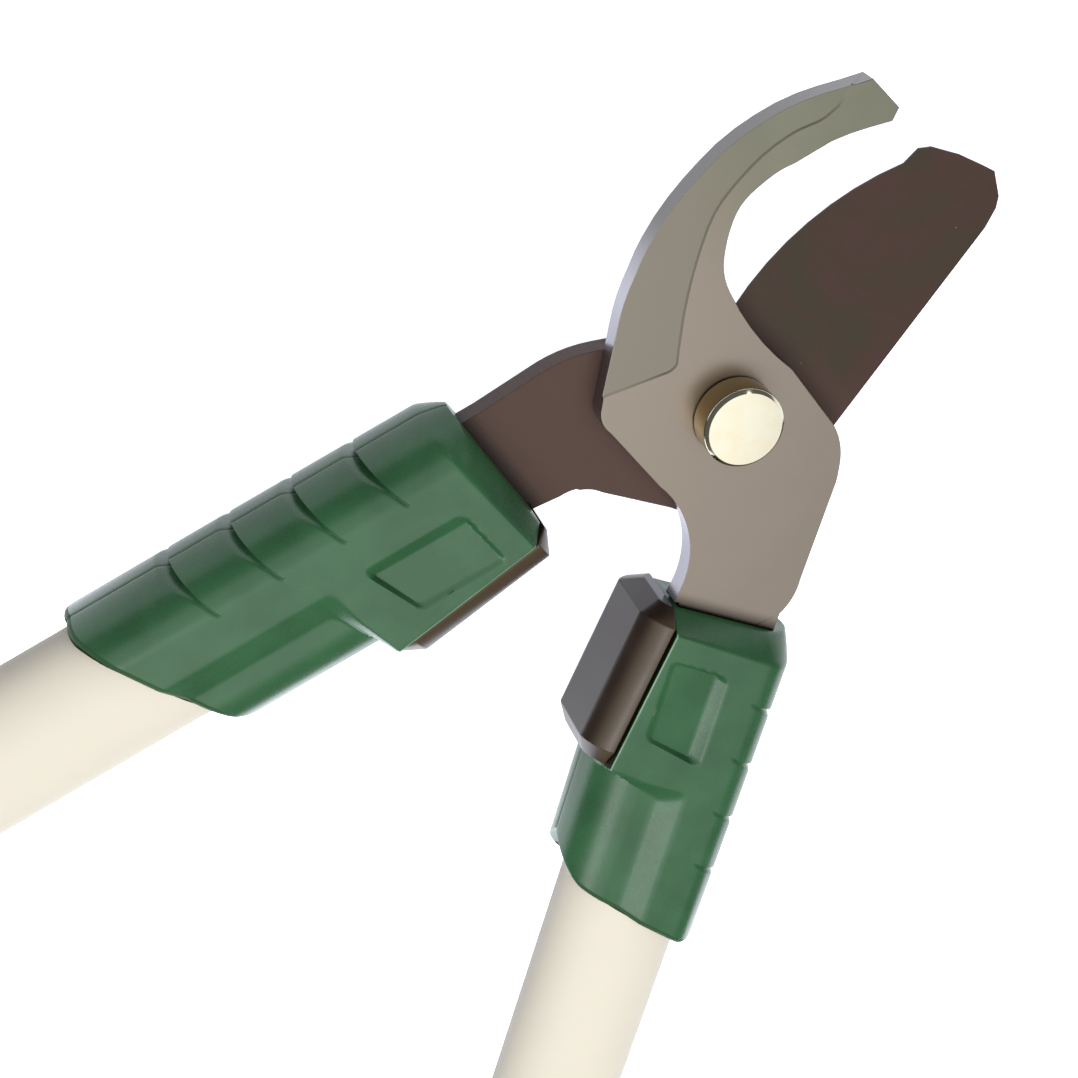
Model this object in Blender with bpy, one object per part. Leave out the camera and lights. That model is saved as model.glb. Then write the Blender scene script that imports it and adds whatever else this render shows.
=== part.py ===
"""Bypass lopper, standing half open.

Two flat jaws turn on one pivot bolt. Each jaw's tang is clamped, together with an oval tube,
between the two half shells of a moulded collar. A bumper on each collar stops the closing
handles, and each tube ends in a grip with a cap.

Frame: metres, +Z up. The origin lies on the pivot axis at the tail of the pivot bolt, +Y runs
from the pivot to the jaws, and the hook's handle lies on the +X side.

A handle has coordinates of its own: u along the handle from the pivot, v outwards from the
line through the pivot, and w up from the plane where the two jaws meet.
"""

import math

import bmesh
import bpy
from mathutils import Matrix

MM = 0.001
RIGHT = 1
LEFT = -1

# Fits, in millimetres like every size below
CLEARANCE = 0.3
CUT_MARGIN = 3.0

# Handles at rest, and the line from the pivot along which the bumpers meet
REST_ANGLE = math.radians(24.32)
BUMPER_ANGLE = math.radians(8.4)

# Jaws, with a shoulder where each tang enters its collar
JAW_THICKNESS = 4.7
TANG_END = 84.0
HOOK_SHOULDER = 1.2
BLADE_SHOULDER = 0.6
RECESS_DEPTH = 0.6
EDGE_LAND = 0.5
BEVEL_WIDTH = 7.0
BEVEL_LEAN = 0.3
BEVEL_RUN_OUT = 0.12

# The hook's outline from its flank round the jaw to its throat, as (x, y) from the pivot. A leg
# is straight to one point, or an arc through the first of two points to the second.
HOOK_NECK = ((2.4, 26.0), (8.0, 26.7))
HOOK_LEGS = (
    ((29.6, 0.6),),
    ((26.6, 5.6), (21.0, 9.4)),
    ((4.6, 13.4),),
    ((-9.0, 15.2), (-17.0, 18.0)),
    ((-27.3, 29.0), (-25.3, 44.5)),
    ((-20.3, 53.6), (-14.4, 60.9)),
    ((-14.8, 62.3),),
    ((-21.9, 63.6),),
    ((-36.4, 37.0), (-36.6, 16.0)),
    ((-34.6, 6.5), (-31.0, -1.0)),
    ((-23.0, -13.4),),
    ((-21.2, -15.6), (-18.0, -16.6)),
    ((-1.5, -19.9),),
)
HOOK_THROAT = (12.2, -25.9)

# The band pressed into the hook's front, run past the hook's outer edge
RECESS_START = (-25.5, -14.0)
RECESS_LEGS = (
    ((-16.8, -1.6),),
    ((-15.9, 1.2), (-17.0, 3.6)),
    ((-20.3, 8.7),),
    ((-30.6, 28.5), (-27.6, 46.4)),
    ((-24.9, 51.6), (-23.9, 56.5)),
    ((-24.6, 64.0),),
    ((-50.0, 64.0),),
    ((-50.0, -14.0),),
)

# The blade's outline in three stretches: its spine up to the tip, its cutting edge, and its
# heel. NECK and HEEL points are (distance along the handle, distance outwards).
BLADE_NECK = ((36.5, -0.3), (32.0, -1.2), (28.6, -4.2), (18.4, -15.6))
SPINE_LEGS = (
    ((24.0, -8.5), (23.7, 9.0)),
    ((20.1, 57.0),),
    ((19.7, 60.9),),
    ((18.6, 62.6),),
    ((14.7, 65.7),),
)
EDGE_START = (6.2, 64.3)
EDGE_LEGS = (
    ((0.2, 62.0),),
    ((-1.8, 60.2),),
    ((-2.2, 56.4),),
    ((-10.9, 33.5), (-11.2, 15.5)),
)
HEEL_LEGS = (((-19.0, 8.4), (-22.9, -0.3)),)
BLADE_HEEL = ((16.9, 23.6), (22.6, 25.2), (30.0, 25.5))
ARC_TURN = math.radians(5.0)

# Pivot bolt with its bush, washers and nut
SHANK_RADIUS = 5.0
HEAD_RADIUS = 8.0
HEAD_HEIGHT = 6.3
HEAD_CHAMFER = 0.7
BUSH_WALL = 1.7
WASHER_RADIUS = 11.0
WASHER_THICKNESS = 1.2
CONE_WASHER_RADIUS = 9.5
CONE_WASHER_THICKNESS = 0.9
CONE_WASHER_RISE = 0.5
NUT_WIDTH = 17.0
NUT_HEIGHT = 5.6
NUT_CHAMFER = 0.8
BOLT_PROUD = 0.6
PIVOT_SIDES = 40

# Oval tube, and how far its start lies from the tang's end
TUBE_WIDTH = 30.2
TUBE_HEIGHT = 19.0
TUBE_WALL = 1.2
TUBE_AXIS = 13.9
TUBE_GAP = 4.0
TUBE_LENGTH = 520.0
TUBE_SIDES = 40

# Moulded collar: its walls round the tube and the tang, its block at the jaws and its body
FRONT_WALL = 2.4
OUTER_WALL = 1.7
INNER_WALL = 4.5
TANG_OUTER_WALL = 6.2
TANG_INNER_WALL = 1.3
COLLAR_START = 42.4
START_BEVEL_LENGTH = 3.2
MOUTH_LIP = 0.85
TUBE_HELD = 23.0
BLOCK_STEP = 1.2
FLUTE_DROP = 1.2
FLUTE_FLOOR = 10.5
FLUTE_WIDTH = 3.5
OUTER_ROUND = 8.7
BODY_ROUND = 11.0
END_SLOPE = 0.49
END_INNER_RADIUS = 9.0
END_OUTER_RADIUS = 5.0
ROUND_STEPS = 6

# Grip slits across the collar's outer side, and the sunk pad on its front
SLIT_START = 65.5
SLIT_PITCH = 13.3
SLIT_COUNT = 4
SLIT_WIDTH = 1.1
SLIT_DEPTH = 1.0
SLIT_INNER = 21.5
SLIT_LEAN = 4.0
PAD_DEPTH = 0.8
PAD_CORNER = 2.5
PAD_CORNERS = ((51.4, 1.9), (70.4, 1.5), (75.5, 13.5), (54.3, 15.4))

# Bumper, with the peg that holds it in the collar
BUMPER_THICKNESS = 6.55
BUMPER_SETBACK = 0.65
BUMPER_LENGTH = 35.0
BUMPER_FACE_HALF_HEIGHT = 6.5
BUMPER_JAW_END_HALF_HEIGHT = 7.2
BUMPER_GRIP_END_HALF_HEIGHT = 9.5
BUMPER_END_CHAMFER = 2.8
BUMPER_LIP = 0.4
PEG_INSET = 19.4
PEG_LENGTH = 12.0
PEG_DEPTH = 2.0
PEG_HALF_HEIGHT = 4.0

# Collar screws, driven in from the back: two through the tang and one through the tube
SCREW_INSETS = (10.6, 8.0)
TANG_SCREW_SKIN = 3.4
TUBE_SCREW_INSET = 15.0
TUBE_SCREW_OFFSET = 3.6
TUBE_SCREW_SKIN = 1.6
SCREW_RADIUS = 2.0
SCREW_HEAD_RADIUS = 3.6
SCREW_HEAD_HEIGHT = 2.0
SCREW_HEAD_PROUD = 0.8
SCREW_HEAD_ROUND = 0.7
SCREW_SIDES = 20

# Grip sleeve, with its walls at even steps behind the lip, and its cap
GRIP_LENGTH = 165.0
GRIP_LIP = 2.0
GRIP_LIP_LENGTH = 4.0
GRIP_WALLS = (3.2, 4.1, 3.9, 3.7, 4.5, 3.8)
GRIP_SIDES = 28
CAP_ROUND = 2.2
CAP_THICKNESS = 5.0
SPIGOT_LENGTH = 14.0
SPIGOT_WALL = 1.6

# Heights from the plane where the jaws meet, worked out from the stack on the bolt
HALF_GAP = CLEARANCE / 2
JAW_FACE = HALF_GAP + JAW_THICKNESS
WASHER_TOP = -JAW_FACE - CLEARANCE
CONE_TOP = WASHER_TOP - WASHER_THICKNESS - CLEARANCE
NUT_TOP = CONE_TOP - CONE_WASHER_THICKNESS - CONE_WASHER_RISE - CLEARANCE
BOLT_TAIL = NUT_TOP - NUT_HEIGHT - BOLT_PROUD
JAW_PLANE = -BOLT_TAIL
BUSH_RADIUS = SHANK_RADIUS + CLEARANCE + BUSH_WALL

# The collar round its tube, in the handle's coordinates
SOCKET_WIDTH = TUBE_WIDTH + 2 * CLEARANCE
SOCKET_HEIGHT = TUBE_HEIGHT + 2 * CLEARANCE
COLLAR_TOP = SOCKET_HEIGHT / 2 + FRONT_WALL
START_TOP = JAW_FACE + CLEARANCE + MOUTH_LIP
BODY_TOP = COLLAR_TOP - FLUTE_DROP
COLLAR_OUTER = TUBE_AXIS + SOCKET_WIDTH / 2 + OUTER_WALL
OUTER_ROUND_AXIS = COLLAR_OUTER - OUTER_ROUND
BODY_INNER = TUBE_AXIS - SOCKET_WIDTH / 2 - INNER_WALL
BODY_ROUND_AXIS = BODY_INNER + BODY_ROUND
FLUTE_EDGE = FLUTE_FLOOR + FLUTE_WIDTH
TUBE_START = TANG_END + TUBE_GAP
TUBE_END = TUBE_START + TUBE_LENGTH
COLLAR_END = TUBE_START + TUBE_HELD
GRIP_START = TUBE_END - GRIP_LENGTH

# The bumper on its line, and the cross-cuts of the collar's block, which stand square to it
BUMPER_SLOPE = math.tan(BUMPER_ANGLE)
BUMPER_START = COLLAR_START * math.cos(BUMPER_ANGLE) + BUMPER_SETBACK
BUMPER_END = BUMPER_START + BUMPER_LENGTH
SEAT_DEPTH = HALF_GAP + BUMPER_THICKNESS + CLEARANCE
PEG_START = BUMPER_START + PEG_INSET
BLOCK_END = (BUMPER_END + 3 * CLEARANCE) / math.cos(BUMPER_ANGLE)


def seat_v(u):
    """The bumper's seat on the cross-cut of the collar's block through u."""
    return (SEAT_DEPTH / math.cos(BUMPER_ANGLE) - BUMPER_SLOPE * u) / (1 + BUMPER_SLOPE ** 2)


# The tang between the seat and the collar's outer side, and the screws through tang and tube
TANG_SHOULDER = COLLAR_START - CLEARANCE
TANG_INNER = seat_v(COLLAR_START) + TANG_INNER_WALL + CLEARANCE
TANG_OUTER = COLLAR_OUTER - TANG_OUTER_WALL
TANG_MIDDLE = (TANG_INNER + TANG_OUTER) / 2
TANG_SCREWS = (
    (COLLAR_START + SCREW_INSETS[0], TANG_MIDDLE), (TANG_END - SCREW_INSETS[1], TANG_MIDDLE),
)
TUBE_SCREW = (TUBE_START + TUBE_SCREW_INSET, TUBE_AXIS + TUBE_SCREW_OFFSET)
SCREWS = [(place, COLLAR_TOP - TANG_SCREW_SKIN) for place in TANG_SCREWS]
SCREWS.append((TUBE_SCREW, COLLAR_TOP - TUBE_SCREW_SKIN))
SCREW_SEAT = SCREW_HEAD_HEIGHT - SCREW_HEAD_PROUD - COLLAR_TOP


def material(name, colour, roughness, metallic=0.0):
    """A Principled material in the photographed colour."""
    result = bpy.data.materials.new(name)
    result.use_nodes = True
    shader = result.node_tree.nodes["Principled BSDF"]
    shader.inputs["Base Color"].default_value = (*colour, 1.0)
    shader.inputs["Roughness"].default_value = roughness
    shader.inputs["Metallic"].default_value = metallic
    return result


def handle_matrix(side):
    """Turns handle coordinates (u, v, w) into the part's frame; the left handle is mirrored."""
    sine = math.sin(REST_ANGLE)
    cosine = math.cos(REST_ANGLE)
    return Matrix((
        (side * sine, side * cosine, 0.0, 0.0),
        (-cosine, sine, 0.0, 0.0),
        (0.0, 0.0, 1.0, JAW_PLANE),
        (0.0, 0.0, 0.0, 1.0),
    ))


def handle_point(side, u, v):
    """A handle's (u, v) as (x, y) in the part's frame."""
    place = handle_matrix(side)
    return (place[0][0] * u + place[0][1] * v, place[1][0] * u + place[1][1] * v)


PIVOT = Matrix.Translation((0.0, 0.0, JAW_PLANE))


def add_solid(name, bm, finish, place=PIVOT, smooth=False):
    """Makes an object from a mesh in millimetres, with its origin on the pivot axis."""
    bm.transform(Matrix.Scale(MM, 4) @ place)
    bmesh.ops.recalc_face_normals(bm, faces=bm.faces)
    mesh = bpy.data.meshes.new(name)
    bm.to_mesh(mesh)
    bm.free()
    if finish:
        mesh.materials.append(finish)
    if smooth:
        mesh.shade_smooth()
        mesh.set_sharp_from_angle(angle=math.radians(35))
    result = bpy.data.objects.new(name, mesh)
    bpy.context.scene.collection.objects.link(result)
    return result


def cut(target, cutter, operation="DIFFERENCE"):
    """Cuts the target with a hidden cutter."""
    cutter.hide_render = True
    cutter.display_type = "WIRE"
    modifier = target.modifiers.new(cutter.name, "BOOLEAN")
    modifier.operation = operation
    modifier.object = cutter


def loft(rings, bm=None):
    """Skins a row of rings with equally many points and closes both ends."""
    bm = bm or bmesh.new()
    rows = [[bm.verts.new(point) for point in ring] for ring in rings]
    for row, following in zip(rows, rows[1:]):
        for index, corner in enumerate(row):
            behind = index - 1
            bm.faces.new((row[behind], corner, following[index], following[behind]))
    bm.faces.new(rows[0])
    bm.faces.new(rows[-1])
    return bm


def prism(outline, low, high, bm=None):
    """An outline in (x, y) stretched from one height to another."""
    return loft([[(x, y, height) for x, y in outline] for height in (low, high)], bm)


def turned(profile, sides, centre=(0.0, 0.0), bm=None):
    """A solid turned about an upright axis from a closed profile of (radius, height)."""
    bm = bm or bmesh.new()
    rows = []
    for radius, height in profile:
        count = 1 if radius == 0 else sides
        turns = [2 * math.pi * step / sides for step in range(count)]
        x = centre[0]
        y = centre[1]
        rows.append([
            bm.verts.new((x + radius * math.cos(turn), y + radius * math.sin(turn), height))
            for turn in turns
        ])
    for row, following in zip(rows, rows[1:] + rows[:1]):
        for step in range(sides):
            after = (step + 1) % sides
            corners = []
            for ring, place in ((row, step), (row, after), (following, after), (following, step)):
                vertex = ring[place % len(ring)]
                if vertex not in corners:
                    corners.append(vertex)
            if len(corners) > 2:
                bm.faces.new(corners)
    return bm


def rod(radius, low, high, sides, centre=(0.0, 0.0), bm=None):
    """A plain upright cylinder."""
    return turned([(0, low), (radius, low), (radius, high), (0, high)], sides, centre, bm)


def arc(start, middle, end):
    """Points on the circle through three points, from the start, left out, to the end."""
    (ax, ay), (bx, by), (cx, cy) = start, middle, end
    area = 2 * (ax * (by - cy) + bx * (cy - ay) + cx * (ay - by))
    squares = (ax * ax + ay * ay, bx * bx + by * by, cx * cx + cy * cy)
    x = (squares[0] * (by - cy) + squares[1] * (cy - ay) + squares[2] * (ay - by)) / area
    y = (squares[0] * (cx - bx) + squares[1] * (ax - cx) + squares[2] * (bx - ax)) / area
    radius = math.hypot(ax - x, ay - y)
    first = math.atan2(ay - y, ax - x)
    last = math.atan2(cy - y, cx - x)
    anticlockwise = (bx - ax) * (cy - by) - (by - ay) * (cx - bx) > 0
    if anticlockwise and last < first:
        last += 2 * math.pi
    if not anticlockwise and last > first:
        last -= 2 * math.pi
    steps = math.ceil(abs(last - first) / ARC_TURN)
    turns = [first + (last - first) * step / steps for step in range(1, steps + 1)]
    return [(x + radius * math.cos(turn), y + radius * math.sin(turn)) for turn in turns]


def path(start, *legs):
    """An outline from a start and its legs: (point,) is straight and (middle, end) an arc."""
    points = [start]
    for leg in legs:
        if len(leg) == 1:
            points.append(leg[0])
        else:
            points += arc(points[-1], *leg)
    return points


def ellipse(width, height, sides, centre=TUBE_AXIS):
    """An upright oval ring in (v, w) round the tube's axis."""
    turns = [2 * math.pi * step / sides for step in range(sides)]
    return [(centre + width / 2 * math.cos(turn), height / 2 * math.sin(turn)) for turn in turns]


def at(u, ring):
    """Stands a ring of (v, w) across the handle at one u."""
    return [(u, v, w) for v, w in ring]


def hook_outline():
    """The hook with its tang, front view."""
    neck = [handle_point(RIGHT, TANG_SHOULDER - back, out) for back, out in HOOK_NECK]
    return path(
        handle_point(RIGHT, TANG_END, TANG_INNER),
        (handle_point(RIGHT, TANG_END, TANG_OUTER),),
        (handle_point(RIGHT, TANG_SHOULDER, TANG_OUTER),),
        neck,
        *HOOK_LEGS,
        (HOOK_THROAT, handle_point(RIGHT, TANG_SHOULDER, HOOK_SHOULDER)),
        (handle_point(RIGHT, TANG_SHOULDER, TANG_INNER),),
    )


def blade_outlines():
    """The blade's front outline, and the back one drawn in behind the cutting edge."""
    neck = [handle_point(LEFT, u, v) for u, v in BLADE_NECK]
    heel = [handle_point(LEFT, u, v) for u, v in BLADE_HEEL]
    spine = path(
        handle_point(LEFT, TANG_END, TANG_INNER),
        (handle_point(LEFT, TANG_SHOULDER, TANG_INNER),),
        (handle_point(LEFT, TANG_SHOULDER, BLADE_SHOULDER),),
        neck[:1],
        neck[1:3],
        neck[3:],
        *SPINE_LEGS,
    )
    edge = path(EDGE_START, *EDGE_LEGS)
    back = path(
        edge[-1],
        *HEEL_LEGS,
        heel[:1],
        heel[1:],
        (handle_point(LEFT, TANG_SHOULDER, TANG_OUTER),),
        (handle_point(LEFT, TANG_END, TANG_OUTER),),
    )[1:]
    ground = []
    for index, (x, y) in enumerate(edge):
        share = BEVEL_RUN_OUT + (1 - 2 * BEVEL_RUN_OUT) * index / len(edge)
        width = BEVEL_WIDTH * math.sin(math.pi * share)
        ground.append((x + width, y - BEVEL_LEAN * width))
    return spine + edge + back, spine + ground + back


def rounded(corners):
    """An outline from corners (x, y, radius); a radius of 0 leaves the corner sharp."""
    points = []
    for index, (x, y, radius) in enumerate(corners):
        if radius == 0:
            points.append((x, y))
            continue
        ends = []
        for other in (corners[index - 1], corners[(index + 1) % len(corners)]):
            reach = math.hypot(other[0] - x, other[1] - y)
            ends.append(((other[0] - x) / reach, (other[1] - y) / reach))
        (px, py), (qx, qy) = ends
        half = math.acos(px * qx + py * qy) / 2
        start = (x + px * radius / math.tan(half), y + py * radius / math.tan(half))
        end = (x + qx * radius / math.tan(half), y + qy * radius / math.tan(half))
        bisector = math.hypot(px + qx, py + qy)
        inset = radius / math.sin(half) - radius
        middle = (x + (px + qx) / bisector * inset, y + (py + qy) / bisector * inset)
        points.append(start)
        points += arc(start, middle, end)
    return points


def sweep(first, last):
    """Evenly spaced angles from one to another, both counted in, given in degrees."""
    return [math.radians(first + (last - first) * step / ROUND_STEPS) for step in range(ROUND_STEPS + 1)]


def leaning(slope, u, v):
    """Where a cross-cut that leans by the slope from u meets the line at v."""
    return u + slope * v


def outer_round(top):
    """The collar's rounded outer side, from its front flat down to the parting plane."""
    return [
        (OUTER_ROUND_AXIS + OUTER_ROUND * math.cos(turn), top * math.sin(turn))
        for turn in sweep(90, 0)[1:]
    ]


def block_ring(u, top):
    """Half a cross-cut of the collar's block, from the bumper seat to the outer side."""
    wall = [(seat_v(u), top * step / (ROUND_STEPS - 1)) for step in range(ROUND_STEPS)]
    front = [(v, top) for v in (BODY_ROUND_AXIS, FLUTE_FLOOR, FLUTE_EDGE, OUTER_ROUND_AXIS)]
    return [(leaning(BUMPER_SLOPE, u, v), v, w) for v, w in wall + front + outer_round(top)]


def body_ring(u, slope):
    """Half a cross-cut of the collar's lower body, with the flute beside its front flat."""
    nose = [
        (BODY_ROUND_AXIS + BODY_ROUND * math.cos(turn), BODY_TOP * math.sin(turn))
        for turn in sweep(180, 90)
    ]
    front = [(FLUTE_FLOOR, BODY_TOP), (FLUTE_EDGE, COLLAR_TOP), (OUTER_ROUND_AXIS, COLLAR_TOP)]
    return [(leaning(slope, u, v), v, w) for v, w in nose + front + outer_round(COLLAR_TOP)]


def half_shell(face):
    """The collar's outer form on one side of the parting plane; face is 1 in front, -1 behind."""
    rings = [
        block_ring(COLLAR_START, START_TOP),
        block_ring(COLLAR_START + START_BEVEL_LENGTH, COLLAR_TOP),
        block_ring(BLOCK_END, COLLAR_TOP),
        body_ring(BLOCK_END + BLOCK_STEP, BUMPER_SLOPE),
        body_ring(COLLAR_END + CUT_MARGIN, END_SLOPE),
    ]
    return loft([[(u, v, face * max(w, HALF_GAP)) for u, v, w in ring] for ring in rings])


def trim_outline():
    """What stays of a collar in (u, v): up to its leaning lower end with the round corners."""
    inner = BODY_INNER - CLEARANCE
    outer = COLLAR_OUTER + CLEARANCE
    start = COLLAR_START - 2 * CUT_MARGIN
    return rounded([
        (start, inner, 0),
        (leaning(END_SLOPE, COLLAR_END, inner), inner, END_INNER_RADIUS),
        (leaning(END_SLOPE, COLLAR_END, outer), outer, END_OUTER_RADIUS),
        (start, outer, 0),
    ])


def pad_outline():
    """The sunk pad on the collar's front."""
    return rounded([(u, v, PAD_CORNER) for u, v in PAD_CORNERS])


def slit_ring(u):
    """A grip slit's cross-cut from its inner end, down the rounded side and back outside it."""
    floor = [
        (OUTER_ROUND_AXIS + (OUTER_ROUND - SLIT_DEPTH) * math.cos(turn),
         (COLLAR_TOP - SLIT_DEPTH) * math.sin(turn))
        for turn in sweep(0, 90)
    ]
    far = COLLAR_OUTER + CUT_MARGIN
    outside = [(SLIT_INNER, COLLAR_TOP + CUT_MARGIN), (far, COLLAR_TOP + CUT_MARGIN), (far, 0.0)]
    ring = floor + [(SLIT_INNER, COLLAR_TOP - SLIT_DEPTH)] + outside
    lean = SLIT_LEAN / (COLLAR_OUTER - SLIT_INNER)
    return [(u - lean * (COLLAR_OUTER - v), v, w) for v, w in ring]


def surface_cutter(face):
    """The slits across a shell's outer side, and on the front shell the sunk pad too."""
    bm = bmesh.new()
    for index in range(SLIT_COUNT):
        u = SLIT_START + SLIT_PITCH * index
        rings = [slit_ring(u - SLIT_WIDTH / 2), slit_ring(u + SLIT_WIDTH / 2)]
        loft([[(x, y, face * w) for x, y, w in ring] for ring in rings], bm)
    if face > 0:
        prism(pad_outline(), COLLAR_TOP - PAD_DEPTH, COLLAR_TOP + CUT_MARGIN, bm)
    return bm


def bumper_point(along, out, w):
    """A point from its place along the bumper line and its distance out from it."""
    sine = math.sin(BUMPER_ANGLE)
    cosine = math.cos(BUMPER_ANGLE)
    return (along * cosine + out * sine, out * cosine - along * sine, w)


def bumper_block(first, last, near, far, half_height):
    """A block on the bumper line."""
    corners = [(first, near), (last, near), (last, far), (first, far)]
    return loft([
        [bumper_point(along, out, w) for along, out in corners]
        for w in (-half_height, half_height)
    ])


def cavity_cutter(face, tang_face):
    """The tube's socket in a shell, and the tang's slot where the tang lies on its side."""
    bm = bmesh.new()
    socket = ellipse(SOCKET_WIDTH, SOCKET_HEIGHT, TUBE_SIDES)
    loft([at(TUBE_START - CLEARANCE, socket), at(COLLAR_END + SOCKET_WIDTH, socket)], bm)
    if face == tang_face:
        start = COLLAR_START - CUT_MARGIN
        end = TANG_END + CLEARANCE
        low, high = TANG_INNER - CLEARANCE, TANG_OUTER + CLEARANCE
        outline = [(start, low), (end, low), (end, high), (start, high)]
        prism(outline, face * -CLEARANCE, face * (JAW_FACE + CLEARANCE), bm)
    return bm


def screw_cutter():
    """A stepped hole at every screw, with a seat for its head, open at the back."""
    bm = bmesh.new()
    neck = SCREW_RADIUS + CLEARANCE
    seat = SCREW_HEAD_RADIUS + CLEARANCE
    floor = SCREW_SEAT + CLEARANCE
    outside = -COLLAR_TOP - CUT_MARGIN
    for place, reach in SCREWS:
        end = reach + CLEARANCE
        turned([(0, outside), (seat, outside), (seat, floor), (neck, floor), (neck, end), (0, end)],
               SCREW_SIDES, place, bm)
    return bm


def sleeve(outer, inner):
    """A hollow solid between two rows of rings, open at both ends."""
    bm = bmesh.new()
    walls = []
    for rings in (outer, inner):
        rows = [[bm.verts.new(point) for point in ring] for ring in rings]
        for row, following in zip(rows, rows[1:]):
            for index, corner in enumerate(row):
                bm.faces.new((row[index - 1], corner, following[index], following[index - 1]))
        walls.append(rows)
    for end in (0, -1):
        row, bore = walls[0][end], walls[1][end]
        for index, corner in enumerate(row):
            bm.faces.new((row[index - 1], corner, bore[index], bore[index - 1]))
    return bm


def make_jaws(steel, coated):
    """The hook in front and the cutting blade behind it, bored for the bush and the screws."""
    hook = add_solid("hook_jaw", prism(hook_outline(), HALF_GAP, JAW_FACE), steel)
    cut(hook, add_solid(
        "hook_recess_cutter",
        prism(path(RECESS_START, *RECESS_LEGS), JAW_FACE - RECESS_DEPTH, JAW_FACE + CUT_MARGIN), None))
    front, back = blade_outlines()
    blade = add_solid("cutting_blade", loft([
        [(x, y, -JAW_FACE) for x, y in back],
        [(x, y, -HALF_GAP - EDGE_LAND) for x, y in front],
        [(x, y, -HALF_GAP) for x, y in front],
    ]), coated)
    bore = rod(BUSH_RADIUS + CLEARANCE, -JAW_FACE - CUT_MARGIN, JAW_FACE + CUT_MARGIN, PIVOT_SIDES)
    bore = add_solid("bush_bore_cutter", bore, None)
    for jaw, side in ((hook, RIGHT), (blade, LEFT)):
        cut(jaw, bore)
        bm = bmesh.new()
        for place in TANG_SCREWS:
            reach = JAW_FACE + CUT_MARGIN
            rod(SCREW_RADIUS + CLEARANCE, -reach, reach, SCREW_SIDES, place, bm)
        cut(jaw, add_solid(jaw.name + "_screw_cutter", bm, None, handle_matrix(side)))
    return hook, blade


def pivot_bolt():
    """The bolt with its flat round head."""
    floor = JAW_FACE + CLEARANCE
    top = floor + HEAD_HEIGHT
    return turned([
        (0, top), (HEAD_RADIUS - HEAD_CHAMFER, top), (HEAD_RADIUS, top - HEAD_CHAMFER),
        (HEAD_RADIUS, floor), (SHANK_RADIUS, floor), (SHANK_RADIUS, BOLT_TAIL), (0, BOLT_TAIL),
    ], PIVOT_SIDES)


def bored(outer, centre_top, rim_top, thickness):
    """A ring on the bolt: flat where its top is level, conical where the rim lies lower."""
    bore = SHANK_RADIUS + CLEARANCE
    return turned([
        (bore, centre_top), (outer, rim_top), (outer, rim_top - thickness), (bore, centre_top - thickness),
    ], PIVOT_SIDES)


def hexagon(inset, height):
    """A cross-cut of the nut."""
    corner = NUT_WIDTH / math.sqrt(3) - inset
    turns = [math.pi / 3 * step for step in range(6)]
    return [(corner * math.cos(turn), corner * math.sin(turn), NUT_TOP - height) for turn in turns]


def make_pivot(plated, zinc):
    """The bolt with its bush between the jaws and its two washers and nut behind them."""
    bolt = add_solid("pivot_bolt", pivot_bolt(), plated, smooth=True)
    rings = {
        "pivot_bush": bored(BUSH_RADIUS, JAW_FACE, JAW_FACE, 2 * JAW_FACE),
        "pivot_washer": bored(WASHER_RADIUS, WASHER_TOP, WASHER_TOP, WASHER_THICKNESS),
        "pivot_cone_washer": bored(
            CONE_WASHER_RADIUS, CONE_TOP, CONE_TOP - CONE_WASHER_RISE, CONE_WASHER_THICKNESS),
    }
    rings = [add_solid(name, solid, zinc, smooth=True) for name, solid in rings.items()]
    nut = add_solid("pivot_nut", loft([
        hexagon(NUT_CHAMFER, 0), hexagon(0, NUT_CHAMFER),
        hexagon(0, NUT_HEIGHT - NUT_CHAMFER), hexagon(NUT_CHAMFER, NUT_HEIGHT),
    ]), zinc)
    thread = rod(SHANK_RADIUS + CLEARANCE, BOLT_TAIL - CUT_MARGIN, NUT_TOP + CUT_MARGIN, PIVOT_SIDES)
    cut(nut, add_solid("nut_bore_cutter", thread, None))
    return [bolt, *rings, nut]


def make_collar(name, side, green):
    """A collar's front and back shells; the tang lies in the front one on the right handle."""
    place = handle_matrix(side)
    trim = prism(trim_outline(), -COLLAR_TOP - CUT_MARGIN, COLLAR_TOP + CUT_MARGIN)
    trim = add_solid(name + "_end_cutter", trim, None, place)
    peg = bumper_block(
        PEG_START - CLEARANCE, PEG_START + PEG_LENGTH + CLEARANCE,
        SEAT_DEPTH - CUT_MARGIN, SEAT_DEPTH + PEG_DEPTH + CLEARANCE, PEG_HALF_HEIGHT + CLEARANCE)
    peg = add_solid(name + "_peg_cutter", peg, None, place)
    screws = add_solid(name + "_screw_cutter", screw_cutter(), None, place)
    shells = []
    for part, face in (("front", 1), ("back", -1)):
        shell = add_solid(f"{name}_{part}", half_shell(face), green, place, smooth=True)
        cut(shell, trim, "INTERSECT")
        cut(shell, add_solid(f"{name}_{part}_cavity_cutter", cavity_cutter(face, side), None, place))
        cut(shell, add_solid(f"{name}_{part}_surface_cutter", surface_cutter(face), None, place))
        cut(shell, peg)
        cut(shell, screws)
        shells.append(shell)
    return shells


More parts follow.
